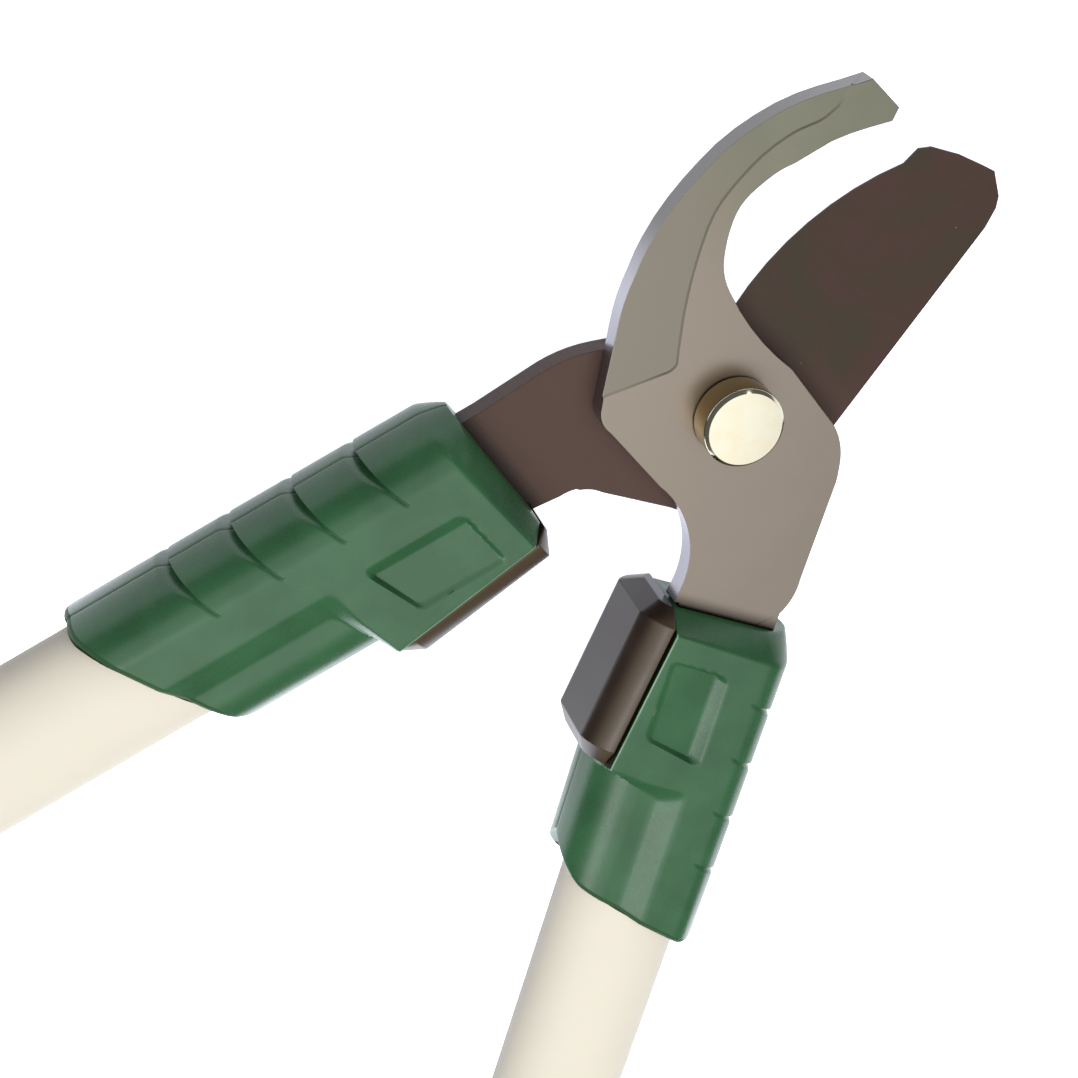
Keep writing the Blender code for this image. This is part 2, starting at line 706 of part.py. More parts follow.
def make_bumper(name, side, rubber):
    """A rubber block with broken edges on its face, held by a peg in the collar."""
    place = handle_matrix(side)
    seat = SEAT_DEPTH - CLEARANCE
    full = COLLAR_TOP - BUMPER_LIP
    rings = []
    for along, face, face_height, seat_height in (
        (0.0, BUMPER_END_CHAMFER, BUMPER_FACE_HALF_HEIGHT, BUMPER_JAW_END_HALF_HEIGHT),
        (BUMPER_END_CHAMFER, 0.0, BUMPER_FACE_HALF_HEIGHT, full),
        (BUMPER_LENGTH - BUMPER_END_CHAMFER, 0.0, BUMPER_FACE_HALF_HEIGHT, full),
        (BUMPER_LENGTH, BUMPER_END_CHAMFER, BUMPER_FACE_HALF_HEIGHT, BUMPER_GRIP_END_HALF_HEIGHT),
    ):
        half = [(HALF_GAP + face, face_height), (seat - BUMPER_LIP, seat_height), (seat, seat_height)]
        ring = half + [(out, -w) for out, w in reversed(half)]
        rings.append([bumper_point(BUMPER_START + along, out, w) for out, w in ring])
    bumper = add_solid(name, loft(rings), rubber, place)
    peg = bumper_block(
        PEG_START, PEG_START + PEG_LENGTH,
        SEAT_DEPTH - CUT_MARGIN, SEAT_DEPTH + PEG_DEPTH, PEG_HALF_HEIGHT)
    cut(bumper, add_solid(name + "_peg", peg, None, place), "UNION")
    return bumper


def make_tube(name, side, cream):
    """An oval tube, drilled through for its screw."""
    place = handle_matrix(side)
    outer = ellipse(TUBE_WIDTH, TUBE_HEIGHT, TUBE_SIDES)
    inner = ellipse(TUBE_WIDTH - 2 * TUBE_WALL, TUBE_HEIGHT - 2 * TUBE_WALL, TUBE_SIDES)
    ends = (TUBE_START, TUBE_END)
    solid = sleeve([at(u, outer) for u in ends], [at(u, inner) for u in ends])
    tube = add_solid(name, solid, cream, place, smooth=True)
    hole = rod(SCREW_RADIUS + CLEARANCE, -TUBE_HEIGHT, TUBE_HEIGHT, SCREW_SIDES, TUBE_SCREW)
    cut(tube, add_solid(name + "_screw_cutter", hole, None, place))
    return tube


def grown_oval(growth):
    """The tube's oval grown all round by a width."""
    return ellipse(TUBE_WIDTH + 2 * growth, TUBE_HEIGHT + 2 * growth, GRIP_SIDES)


def make_grip(name, side, soft, black):
    """A grip sleeve that swells at its end, and the cap that closes it."""
    place = handle_matrix(side)
    outer = [at(GRIP_START, grown_oval(CLEARANCE + GRIP_LIP))]
    for index, wall in enumerate(GRIP_WALLS):
        share = index / (len(GRIP_WALLS) - 1)
        along = GRIP_LIP_LENGTH + (GRIP_LENGTH - GRIP_LIP_LENGTH) * share
        outer.append(at(GRIP_START + along, grown_oval(CLEARANCE + wall)))
    inner = [at(u, grown_oval(CLEARANCE)) for u in (GRIP_START, TUBE_END)]
    grip = add_solid(name + "_grip", sleeve(outer, inner), soft, place, smooth=True)

    end = TUBE_END + CLEARANCE
    rim = GRIP_WALLS[-1]
    spigot = -TUBE_WALL - CLEARANCE
    rings = [
        at(end + along, grown_oval(growth))
        for along, growth in (
            (-SPIGOT_LENGTH, spigot), (0.0, spigot), (0.0, rim),
            (CAP_THICKNESS - CAP_ROUND, rim), (CAP_THICKNESS, rim - CAP_ROUND),
        )
    ]
    cap = add_solid(name + "_end_cap", loft(rings), black, place, smooth=True)
    bore = grown_oval(spigot - SPIGOT_WALL)
    hollow = loft([at(end - SPIGOT_LENGTH - CUT_MARGIN, bore), at(end, bore)])
    cut(cap, add_solid(name + "_cap_cutter", hollow, None, place))
    return [grip, cap]


def make_screws(name, side, zinc):
    """The collar's screws, driven from the back into the front shell."""
    low = SCREW_SEAT - SCREW_HEAD_HEIGHT
    screws = []
    for number, (centre, reach) in enumerate(SCREWS, 1):
        profile = [
            (0, low), (SCREW_HEAD_RADIUS - SCREW_HEAD_ROUND, low),
            (SCREW_HEAD_RADIUS, low + SCREW_HEAD_ROUND), (SCREW_HEAD_RADIUS, SCREW_SEAT),
            (SCREW_RADIUS, SCREW_SEAT), (SCREW_RADIUS, reach - SCREW_RADIUS / 2),
            (SCREW_RADIUS / 2, reach), (0, reach),
        ]
        solid = turned(profile, SCREW_SIDES, centre)
        screws.append(add_solid(
            f"{name}_collar_screw_{number}", solid, zinc, handle_matrix(side), smooth=True))
    return screws


def main():
    """Builds the lopper, with everything that turns under one empty on the pivot axis."""
    for thing in list(bpy.data.objects):
        bpy.data.objects.remove(thing, do_unlink=True)
    steel = material("satin_nickel_steel", (0.33, 0.29, 0.25), 0.38, 1.0)
    coated = material("non_stick_blade_coat", (0.10, 0.066, 0.055), 0.5, 0.2)
    plated = material("yellow_zinc_bolt", (0.85, 0.78, 0.52), 0.25, 1.0)
    zinc = material("zinc_fasteners", (0.55, 0.56, 0.57), 0.35, 1.0)
    green = material("green_moulding", (0.055, 0.165, 0.085), 0.42)
    soft = material("green_grip_sleeve", (0.045, 0.14, 0.07), 0.6)
    rubber = material("bumper_rubber", (0.045, 0.035, 0.032), 0.6)
    cream = material("cream_enamel", (0.80, 0.76, 0.64), 0.3)
    black = material("black_moulding", (0.02, 0.02, 0.02), 0.5)

    hook, blade = make_jaws(steel, coated)
    fixed = [hook] + make_pivot(plated, zinc)
    turning = [blade]
    for side, name, group in ((RIGHT, "right", fixed), (LEFT, "left", turning)):
        group += make_collar(name + "_collar", side, green)
        group.append(make_bumper(name + "_bumper", side, rubber))
        group.append(make_tube(name + "_tube", side, cream))
        group += make_grip(name, side, soft, black)
        group += make_screws(name, side, zinc)
    for name, group in (("hook_half", fixed), ("blade_half", turning)):
        carrier = bpy.data.objects.new(name, None)
        bpy.context.scene.collection.objects.link(carrier)
        for piece in group:
            piece.parent = carrier


main()
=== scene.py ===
"""Looks of a bypass lopper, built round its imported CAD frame.

Lengths are in millimetres and become metres where a mesh gets its place. Each handle has
coordinates of its own, as in the CAD: u along the handle from the pivot, v outwards from the line
through the pivot, and w up from the plane where the two jaws meet.
"""

import math

import bmesh
import bpy
from bpy.props import FloatProperty, FloatVectorProperty, IntProperty
from mathutils import Matrix, Vector


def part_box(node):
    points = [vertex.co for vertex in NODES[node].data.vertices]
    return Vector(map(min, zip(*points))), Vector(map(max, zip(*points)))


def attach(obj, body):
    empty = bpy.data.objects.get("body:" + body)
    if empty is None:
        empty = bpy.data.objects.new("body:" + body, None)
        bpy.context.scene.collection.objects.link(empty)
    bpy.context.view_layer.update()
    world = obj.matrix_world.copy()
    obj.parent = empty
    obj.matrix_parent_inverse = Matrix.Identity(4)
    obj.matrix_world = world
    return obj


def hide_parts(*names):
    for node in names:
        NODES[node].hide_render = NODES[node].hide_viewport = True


bl_info = {
    "name": "Bypass lopper",
    "version": (1, 0, 0),
    "blender": (4, 5, 0),
    "location": "View3D > Sidebar > Lopper",
    "description": "Dresses the packed lopper with its finished pieces and materials",
    "category": "Object",
}

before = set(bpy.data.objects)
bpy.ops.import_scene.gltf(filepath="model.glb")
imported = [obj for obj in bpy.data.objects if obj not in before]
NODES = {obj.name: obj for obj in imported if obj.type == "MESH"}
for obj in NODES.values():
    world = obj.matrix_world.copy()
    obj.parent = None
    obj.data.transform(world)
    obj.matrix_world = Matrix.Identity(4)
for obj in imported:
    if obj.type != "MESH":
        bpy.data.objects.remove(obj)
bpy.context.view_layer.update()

MM = 0.001
RIGHT = 1
LEFT = -1
HANDLES = ((RIGHT, "right", "hook_half"), (LEFT, "left", "blade_half"))

# The plane where the jaws meet, halfway between the two plates, and the handles' angle
JAW_PLANE = (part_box("hook_jaw")[0].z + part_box("cutting_blade")[1].z) / 2 / MM
HALF_GAP = 0.15
CLEARANCE = 0.3
MERGE = 0.002 * MM
REST_ANGLE = math.radians(24.32)


def linear(code):
    """Turns an sRGB hex colour into linear red, green, blue and alpha."""
    parts = [int(code[place:place + 2], 16) / 255 for place in (1, 3, 5)]
    curve = [part / 12.92 if part <= 0.04045 else ((part + 0.055) / 1.055) ** 2.4 for part in parts]
    return (*curve, 1.0)


def colour(name, code, description):
    """A colour that a user can change."""
    return FloatVectorProperty(
        name=name, description=description, default=linear(code), size=4, min=0.0, max=1.0,
        subtype="COLOR")


def length(name, millimetres, description):
    """A length that a user can change, kept in metres."""
    return FloatProperty(
        name=name, description=description, default=millimetres * MM, min=0.0, precision=5,
        subtype="DISTANCE", unit="LENGTH")


def power(name, watts, description):
    """A light's power that a user can change."""
    return FloatProperty(name=name, description=description, default=watts, min=0.0, unit="POWER")


class LopperColours(bpy.types.PropertyGroup):
    """Colours of the finishes."""

    nickel: colour("Nickel plate", "#8A8177", "Satin nickel plate on the hook")
    # painted shade: the hook's nickel turns to this darker, greener tone towards its tip
    nickel_shaded_tip: colour("Nickel at the tip", "#757567", "Painted shade: darker nickel towards the hook's tip")
    nickel_band: colour("Pressed band", "#7F796F", "Nickel in the band pressed into the hook")
    # painted reflection: a bluish tone on the polished side faces stands for the reflections they show
    nickel_edge: colour("Polished edge", "#9D9CA3", "Polished side faces of the hook, bluish as painted reflection")
    coating: colour("Blade coating", "#46322A", "Baked non-stick coating on the blade")
    coating_shade: colour("Coating shade", "#3D3426", "Olive clouds in the coating")
    yellow_zinc: colour("Yellow zinc", "#BAB7A6", "Yellow chromate on the bolt's face")
    # painted shade: the bolt head's side is a darker copy of the face's yellow chromate
    bolt_side_shade: colour("Brassy zinc", "#A8966F", "Painted shade: darker yellow chromate on the bolt's side")
    bright_zinc: colour("Bright zinc", "#C3C5C8", "Zinc plate on nut, washers and screws")
    green: colour("Green moulding", "#356541", "Moulded collars")
    green_shade: colour("Green shade", "#2E5B39", "Darker clouds in the moulded collars")
    bumper: colour("Bumper rubber", "#261A12", "Moulded bumpers")
    cream: colour("Cream powder coat", "#EFE8D8", "Powder coat on the tubes")
    grip: colour("Grip sleeve", "#2F6547", "Soft grip sleeves")
    cap: colour("End cap", "#1E1E1E", "Moulded end caps")
    floor: colour("Floor", "#D6D6D6", "Studio floor")


class LopperSizes(bpy.types.PropertyGroup):
    """Sizes of the details that the CAD leaves plain."""

    jaw_edge: length("Jaw edge", 0.25, "Rounding of the jaws' edges")
    bolt_edge: length("Bolt edge", 0.25, "Rounding of the bolt head's chamfer")
    collar_cell: length("Collar cell", 0.36, "Mesh size on the moulded collars")
    collar_rim: length("Collar rim", 1.5, "Rounding of the collar's lower rim")
    seat_edge: length("Seat edge", 0.35, "Rounding of the collar's edge along the bumper")
    bumper_edge: length("Bumper edge", 0.5, "Rounding of the bumper's edges")
    tube_sides: IntProperty(
        name="Tube sides", description="Sides of the oval tubes", default=96, min=24, max=256)
    grain: length("Moulding grain", 0.5, "Grain size of the moulded plastics")


class LopperStage(bpy.types.PropertyGroup):
    """Camera and lights."""

    camera_place: FloatVectorProperty(
        name="Camera place", description="Where the photograph was taken from",
        default=(-0.22534, 0.04297, 0.36199), subtype="TRANSLATION", unit="LENGTH", precision=5)
    camera_turn: FloatVectorProperty(
        name="Camera turn", description="How the camera is turned",
        default=tuple(math.radians(turn) for turn in (-29.1753, -17.1152, 40.2778)),
        subtype="EULER", unit="ROTATION")
    lens: FloatProperty(
        name="Lens", description="Focal length on a 36 mm wide picture", default=71.265, min=1.0,
        unit="CAMERA")
    daylight: FloatProperty(
        name="Dome", description="Strength of the studio's dome at its top", default=1.5, min=0.0)
    key: power("Key light", 1.2, "Power of the large soft light above")
    low: power("Low light", 2.8, "Power of the small soft light at the lower left")
    rim: power("Rim light", 0.25, "Power of the small light behind the jaws")


def colours():
    return bpy.context.scene.lopper_colours


def sizes():
    return bpy.context.scene.lopper_sizes


def feed(node, inputs):
    """Sets a node's inputs: each takes a value or the socket that feeds it."""
    for name, value in inputs.items():
        if isinstance(value, bpy.types.NodeSocket):
            node.id_data.links.new(value, node.inputs[name])
        else:
            node.inputs[name].default_value = value


def add_node(tree, kind, output, inputs=None, **settings):
    """Adds a shader node with its settings and links, and gives back one of its outputs."""
    made = tree.nodes.new("ShaderNode" + kind)
    for name, value in settings.items():
        setattr(made, name, value)
    feed(made, inputs or {})
    return made.outputs[output]


def new_material(name):
    """A material with its shader, and the object coordinates that its patterns read."""
    made = bpy.data.materials.new(name)
    made.use_nodes = True
    tree = made.node_tree
    return made, tree, tree.nodes["Principled BSDF"], add_node(tree, "TexCoord", "Object")


def per_mm(size):
    """Scale of a noise or cell texture on coordinates in metres, for features of this size in mm."""
    return 1.0 / (size * MM)


def tinted(base, *shares):
    """A colour with its red, green and blue taken down."""
    return tuple(part * share for part, share in zip(base[:3], shares)) + (1.0,)


def two_tone(tree, pattern, first, second, levels=(0.0, 1.0), shares=(0.0, 1.0), kind="LINEAR"):
    """Mixes two colours: between two levels of a pattern, the second one's share changes."""
    amount = add_node(tree, "MapRange", "Result", {
        "Value": pattern, "From Min": levels[0], "From Max": levels[1],
        "To Min": shares[0], "To Max": shares[1]}, interpolation_type=kind)
    return add_node(tree, "Mix", 2, {0: amount, 6: first, 7: second}, data_type="RGBA")


def along(tree, place, axis, start, end, low=0.0, high=1.0):
    """Goes softly from one value to another between two places in mm on an axis."""
    return add_node(tree, "MapRange", "Result", {
        "Value": add_node(tree, "SeparateXYZ", axis, {"Vector": place}),
        "From Min": start * MM, "From Max": end * MM, "To Min": low, "To Max": high},
        interpolation_type="SMOOTHSTEP")


# Nearly all of a noise pattern lies between these levels
NOISE_LOW = 0.3
NOISE_HIGH = 0.7


def textured(tree, shader, sheen, roughness, hills, strength, height):
    """Lets the roughness follow one pattern, and raises another one by a height in mm."""
    feed(shader, {
        "Roughness": add_node(tree, "MapRange", "Result", {
            "Value": sheen, "From Min": NOISE_LOW, "From Max": NOISE_HIGH,
            "To Min": roughness[0], "To Max": roughness[1]}),
        "Normal": add_node(tree, "Bump", "Normal", {
            "Strength": strength, "Distance": height * MM, "Height": hills})})


def collar_shadow(tree, place, side, tone):
    """Paints shade onto a jaw's finish along the edge of its collar, where the collar shadows the plate.
    """
    edge = (side * (math.sin(REST_ANGLE) - SEAT_SLOPE * math.cos(REST_ANGLE)),
            -math.cos(REST_ANGLE) - SEAT_SLOPE * math.sin(REST_ANGLE), 0.0)
    reach = add_node(tree, "VectorMath", "Value", {0: place, 1: edge}, operation="DOT_PRODUCT")
    # painted shadow: the finish fades most of the way to near black within 3.5 mm of the collar's edge
    return two_tone(
        tree, reach, tone, linear("#15120F"),
        ((COLLAR_START - 3.5) * MM, (COLLAR_START + 0.4) * MM), (0.0, 0.85), "SMOOTHSTEP")


def satin_nickel(name, base, tip, roughness, tip_shade_span=(12.0, 48.0)):
    """Nickel-plated steel, satin finished in a drum: a soft even sheen with a very fine grain.

    Nickel is a slightly warm grey, painted darker and greener towards the hook's tip as shade,
    with a painted shadow by the collar. Drum finishing leaves grit marks of about 0.15 mm
    without a direction, drawn here at 0.3 mm so that they show, and broad clouds of differing gloss.
    """
    made, tree, shader, place = new_material(name)
    clouds = add_node(tree, "TexNoise", "Fac", {
        "Vector": place, "Scale": per_mm(14.0), "Detail": 3.0})
    marks = add_node(tree, "TexNoise", "Fac", {
        "Vector": place, "Scale": per_mm(0.3), "Roughness": 0.6})
    tone = two_tone(tree, clouds, tinted(base, 0.9, 0.9, 0.9), base, (0.35, 0.65))
    # painted shade: the tone turns to the darker tip colour between these heights on y
    tone = two_tone(tree, along(tree, place, "Y", *tip_shade_span), tone, tip)
    # painted shadow along the collar's edge
    feed(shader, {"Base Color": collar_shadow(tree, place, RIGHT, tone), "Metallic": 1.0})
    textured(tree, shader, clouds, (roughness - 0.04, roughness + 0.05), marks, 0.08, 0.02)
    return made


def baked_coating(name, base, clouded):
    """Non-stick fluoropolymer coating, sprayed and baked on blanked steel.

    It is a thin brown film with a dull sheen: olive and reddish clouds where it is thicker,
    pinholes of about 0.3 mm that catch the light, and faint rub marks.
    """
    made, tree, shader, place = new_material(name)
    olive = add_node(tree, "TexNoise", "Fac", {
        "Vector": place, "Scale": per_mm(16.0), "Detail": 4.0, "Roughness": 0.55})
    reddish = add_node(tree, "TexNoise", "Fac", {
        "Vector": place, "Scale": per_mm(7.0), "Detail": 3.0})
    pinholes = add_node(tree, "TexVoronoi", "Distance", {"Vector": place, "Scale": per_mm(5.0)})
    brushed = add_node(tree, "Mapping", "Vector", {
        "Vector": place, "Rotation": (0.0, 0.0, math.radians(35)), "Scale": (1.0, 14.0, 1.0)})
    rubs = add_node(tree, "TexNoise", "Fac", {
        "Vector": brushed, "Scale": per_mm(6.0), "Detail": 5.0, "Roughness": 0.7})
    spray = add_node(tree, "TexNoise", "Fac", {"Vector": place, "Scale": per_mm(0.5)})
    tone = two_tone(tree, olive, base, clouded, (0.42, 0.62))
    tone = two_tone(tree, reddish, tone, linear("#4A2F2E"), (0.5, 0.75), (0.0, 0.5))
    tone = two_tone(tree, pinholes, tone, linear("#A89A90"), (0.03, 0.045), (0.35, 0.0))
    tone = two_tone(tree, along(tree, place, "Y", 22.0, 0.0), tone, linear("#523D35"))
    feed(shader, {"Base Color": collar_shadow(tree, place, LEFT, tone), "IOR": 1.32})
    textured(tree, shader, rubs, (0.44, 0.56), spray, 0.2, 0.04)
    return made


# The wave texture turns by this angle in one unit of its scale
WAVE_RADIANS = 20.0


def yellow_chromate(name, base, roughness):
    """Zinc plate with yellow chromate on a turned bolt: bright pale gold with rosy breaths.

    The turning marks round the head are about 0.1 mm apart, drawn as faint rings 2.5 mm apart.
    """
    made, tree, shader, place = new_material(name)
    breath = add_node(tree, "TexNoise", "Fac", {"Vector": place, "Scale": per_mm(5.0)})
    rings = add_node(tree, "TexWave", "Fac", {
        "Vector": place, "Scale": per_mm(0.4) / WAVE_RADIANS, "Distortion": 0.0, "Detail": 0.0},
        wave_type="RINGS", rings_direction="Z")
    feed(shader, {
        "Base Color": two_tone(tree, breath, base, tinted(base, 1.0, 0.94, 0.86), (0.4, 0.8)),
        "Metallic": 1.0, "Roughness": roughness,
        "Normal": add_node(tree, "Bump", "Normal", {
            "Strength": 0.04, "Distance": 0.01 * MM, "Height": rings})})
    return made


def bright_zinc():
    """Bright zinc plate on cold-headed fasteners: bluish grey with a fine spangle of 0.8 mm."""
    made, tree, shader, place = new_material("bright_zinc_plate")
    base = colours().bright_zinc
    spangle = add_node(tree, "TexVoronoi", "Distance", {"Vector": place, "Scale": per_mm(0.8)})
    haze = add_node(tree, "TexNoise", "Fac", {"Vector": place, "Scale": per_mm(3.0)})
    feed(shader, {
        "Base Color": two_tone(tree, spangle, tinted(base, 0.82, 0.82, 0.82), base),
        "Metallic": 1.0,
        "Roughness": add_node(tree, "MapRange", "Result", {
            "Value": haze, "From Min": NOISE_LOW, "From Max": NOISE_HIGH,
            "To Min": 0.26, "To Max": 0.36})})
    return made


def moulded_polypropylene(name, base, shade, roughness=0.3, grain=1.0, strength=0.2, index=1.42):
    """Injection-moulded polypropylene from a spark-eroded mould: a fine even satin texture.

    The texture's hills are about 0.2 mm apart, drawn at half a millimetre so that they show.
    Broad clouds come from the flow of the melt.
    """
    made, tree, shader, place = new_material(name)
    flow = add_node(tree, "TexNoise", "Fac", {
        "Vector": place, "Scale": per_mm(11.0), "Detail": 3.0})
    hills = add_node(tree, "TexNoise", "Fac", {
        "Vector": place, "Scale": per_mm(sizes().grain / MM * grain), "Detail": 3.0,
        "Roughness": 0.6})
    feed(shader, {"Base Color": two_tone(tree, flow, base, shade, (0.38, 0.64)), "IOR": index})
    textured(tree, shader, hills, (roughness - 0.05, roughness + 0.05), hills, strength, 0.05)
    return made


# Heights between which the painted sheen on the bumper's front comes in
SHEEN_START = 22.6
SHEEN_FULL = 25.0


def bumper_elastomer():
    """Hard black-brown elastomer, moulded in a polished tool: a broad soft gleam.

    The surface is nearly plain; a faint bloom of wax clouds it, a lighter brown along the top of its
    front is painted sheen, and the tool's texture is about 0.3 mm, drawn at 0.6 mm.
    """
    made, tree, shader, place = new_material("bumper_elastomer")
    bloom = add_node(tree, "TexNoise", "Fac", {
        "Vector": place, "Scale": per_mm(9.0), "Detail": 3.0})
    pores = add_node(tree, "TexNoise", "Fac", {"Vector": place, "Scale": per_mm(0.6)})
    tone = two_tone(tree, bloom, colours().bumper, linear("#2E2016"))
    # painted highlight: a lighter brown near the top of the bumper's front, for its sheen there
    sheen_band = along(tree, place, "Z", SHEEN_START, SHEEN_FULL)
    feed(shader, {"Base Color": two_tone(tree, sheen_band, tone, linear("#4C3E2C")), "IOR": 1.44})
    textured(tree, shader, bloom, (0.28, 0.36), pores, 0.1, 0.03)
    return made


def powder_coat():
    """Cream powder coat baked on drawn aluminium tube: satin, with a soft orange peel of 1.5 mm."""
    made, tree, shader, place = new_material("cream_powder_coat")
    base = colours().cream
    drift = add_node(tree, "TexNoise", "Fac", {"Vector": place, "Scale": per_mm(25.0)})
    peel = add_node(tree, "TexNoise", "Fac", {"Vector": place, "Scale": per_mm(1.5)})
    feed(shader, {
        "Base Color": two_tone(tree, drift, base, tinted(base, 0.93, 0.93, 0.93)),
        "Roughness": 0.55, "IOR": 1.32,
        "Normal": add_node(tree, "Bump", "Normal", {
            "Strength": 0.15, "Distance": 0.03 * MM, "Height": peel})})
    return made


def finish(piece, *materials):
    """Gives a piece its materials, in the order of its slots; its faces keep their slots."""
    slots = [face.material_index for face in piece.data.polygons]
    piece.data.materials.clear()
    for made in materials:
        piece.data.materials.append(made)
    for face, slot in zip(piece.data.polygons, slots):
        face.material_index = min(slot, len(materials) - 1)


def smooth(share):
    """An even swell from 0 to 1."""
    share = min(max(share, 0.0), 1.0)
    return share * share * (3.0 - 2.0 * share)


def ramp(share, soft=0.16):
    """A straight slope from 0 to 1 with rounded ends."""
    share = min(max(share, 0.0), 1.0)
    if share < soft:
        rise_of = share * share / (2 * soft)
    elif share > 1 - soft:
        rise_of = 1 - soft - (1 - share) ** 2 / (2 * soft)
    else:
        rise_of = share - soft / 2
    return rise_of / (1 - soft)


def soft_least(first, second, softness):
    """The lower of two numbers, with a rounded change from one to the other."""
    share = min(max(0.5 + 0.5 * (second - first) / softness, 0.0), 1.0)
    return second + (first - second) * share - softness * share * (1.0 - share)


def only(piece):
    """Makes one piece the only selected one, and the active one."""
    bpy.ops.object.select_all(action="DESELECT")
    piece.select_set(True)
    bpy.context.view_layer.objects.active = piece


def edit(piece):
    """Opens one piece in edit mode with nothing selected in it."""
    only(piece)
    bpy.ops.object.mode_set(mode="EDIT")
    bpy.ops.mesh.select_all(action="DESELECT")


def choose(piece, kind, test):
    """Selects in edit mode the faces, edges or corners that pass a test."""
    bpy.ops.mesh.select_mode(type=kind)
    bpy.ops.mesh.select_all(action="DESELECT")
    bm = bmesh.from_edit_mesh(piece.data)
    parts = {"FACE": bm.faces, "EDGE": bm.edges, "VERT": bm.verts}[kind]
    for part in parts:
        if test(part):
            part.select_set(True)
    bm.select_flush_mode()
    bmesh.update_edit_mesh(piece.data)


def take_all():
    bpy.ops.mesh.select_all(action="SELECT")


def leave():
    bpy.ops.object.mode_set(mode="OBJECT")


def close_faces():
    """Turns every face outwards and leaves edit mode."""
    take_all()
    bpy.ops.mesh.normals_make_consistent(inside=False)
    leave()


def primitive(add, name, **settings):
    """Adds a primitive at its size and place, with its name and with its transform applied."""
    bpy.ops.object.select_all(action="DESELECT")
    add(**settings)
    piece = bpy.context.object
    piece.name = name
    bpy.ops.object.transform_apply(location=True, rotation=True, scale=True)
    return piece


def apply_modifier(piece, kind, **settings):
    """Adds a modifier with its settings and applies it."""
    only(piece)
    modifier = piece.modifiers.new(kind.lower(), kind)
    for name, value in settings.items():
        setattr(modifier, name, value)
    bpy.ops.object.modifier_apply(modifier=modifier.name)


def shade(piece, angle=30.0, flat=False):
    """Shades a piece smooth, with creases above an angle; its flat faces can stay flat."""
    only(piece)
    bpy.ops.object.shade_smooth_by_angle(angle=math.radians(angle))
    if flat:
        apply_modifier(piece, "WEIGHTED_NORMAL", keep_sharp=True, weight=100)


def on_handle(side):
    """Turns a handle's coordinates in metres into the frame's; the left handle is mirrored."""
    sine = math.sin(REST_ANGLE)
    cosine = math.cos(REST_ANGLE)
    return Matrix((
        (side * sine, side * cosine, 0.0, 0.0),
        (-cosine, sine, 0.0, 0.0),
        (0.0, 0.0, 1.0, JAW_PLANE * MM),
        (0.0, 0.0, 0.0, 1.0),
    ))


def ready(piece, body, node):
    """Says what a finished piece rides on, and hides the CAD node that it stands for."""
    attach(piece, body)
    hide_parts(node)


def set_down(piece, handle, node, materials=(), angle=30.0, flat=False):
    """Finishes a piece in handle coordinates, and moves it onto its handle for a CAD node."""
    side, name, body = handle
    if materials:
        finish(piece, *materials)
    piece.data.transform(on_handle(side))
    if side == LEFT:
        piece.data.flip_normals()
    ready(piece, body, f"{name}_{node}")
    if materials:
        shade(piece, angle, flat)


def copied(node, name):
    """A copy of a CAD node, with its loose triangles joined and its flat faces whole again."""
    piece = bpy.data.objects.new(name, NODES[node].data.copy())
    bpy.context.scene.collection.objects.link(piece)
    edit(piece)
    take_all()
    bpy.ops.mesh.customdata_custom_splitnormals_clear()
    bpy.ops.mesh.remove_doubles(threshold=MERGE)
    bpy.ops.mesh.dissolve_limited(angle_limit=math.radians(0.5))
    leave()
    return piece


def is_sharp(edge, degrees):
    """Whether an edge has two faces that meet at more than this angle."""
    return len(edge.link_faces) == 2 and edge.calc_face_angle(0.0) > math.radians(degrees)


def break_edges(piece, degrees, width, segments=2, test=None, slot=-1):
    """Rounds in edit mode the edges that are sharper than an angle."""
    choose(piece, "EDGE", lambda edge: is_sharp(edge, degrees) and (test is None or test(edge)))
    bpy.ops.mesh.bevel(
        offset=width, segments=segments, affect="EDGES", clamp_overlap=True, material=slot)


def drawn(name, sides, profile, closed=False):
    """A piece drawn up from a ring: extruded and resized step by step along its profile.

    The profile holds (height, half width, half depth) in millimetres. A closed one comes back
    to its first ring and leaves a bore; another one has its two ends filled.
    """
    height, wide, deep = (size * MM for size in profile[0])
    piece = primitive(
        bpy.ops.mesh.primitive_circle_add, name, vertices=sides, radius=wide, fill_type="NOTHING",
        location=(0.0, 0.0, height))
    edit(piece)
    take_all()
    bpy.ops.transform.resize(value=(1.0, deep / wide, 1.0))
    for next_height, next_wide, next_deep in profile[1:]:
        bpy.ops.mesh.extrude_region_move(
            TRANSFORM_OT_translate={"value": (0.0, 0.0, next_height * MM - height)})
        bpy.ops.transform.resize(value=(next_wide * MM / wide, next_deep * MM / deep, 1.0))
        height, wide, deep = next_height * MM, next_wide * MM, next_deep * MM
    take_all()
    if closed:
        bpy.ops.mesh.remove_doubles(threshold=MERGE)
    else:
        bpy.ops.mesh.fill_holes(sides=0)
    close_faces()
    return piece


def rounded(corners, radius, steps=4):
    """A profile of (height, size) pairs, with a radius at each of its inner corners."""
    points = [corners[0]]
    for before, corner, after in zip(corners, corners[1:], corners[2:]):
        corner = Vector(corner)
        first = Vector(before) - corner
        second = Vector(after) - corner
        reach = min(radius, first.length / 2.2, second.length / 2.2)
        start = corner + first.normalized() * reach
        end = corner + second.normalized() * reach
        for step in range(steps + 1):
            share = step / steps
            points.append(tuple(start.lerp(corner, share).lerp(corner.lerp(end, share), share)))
    points.append(corners[-1])
    return points


def turned(name, sides, corners, radius=0.0, closed=False):
    """A round piece on the pivot axis from corners given as (height, radius)."""
    outline = rounded(corners, radius) if radius else corners
    return drawn(name, sides, [(height, size, size) for height, size in outline], closed)


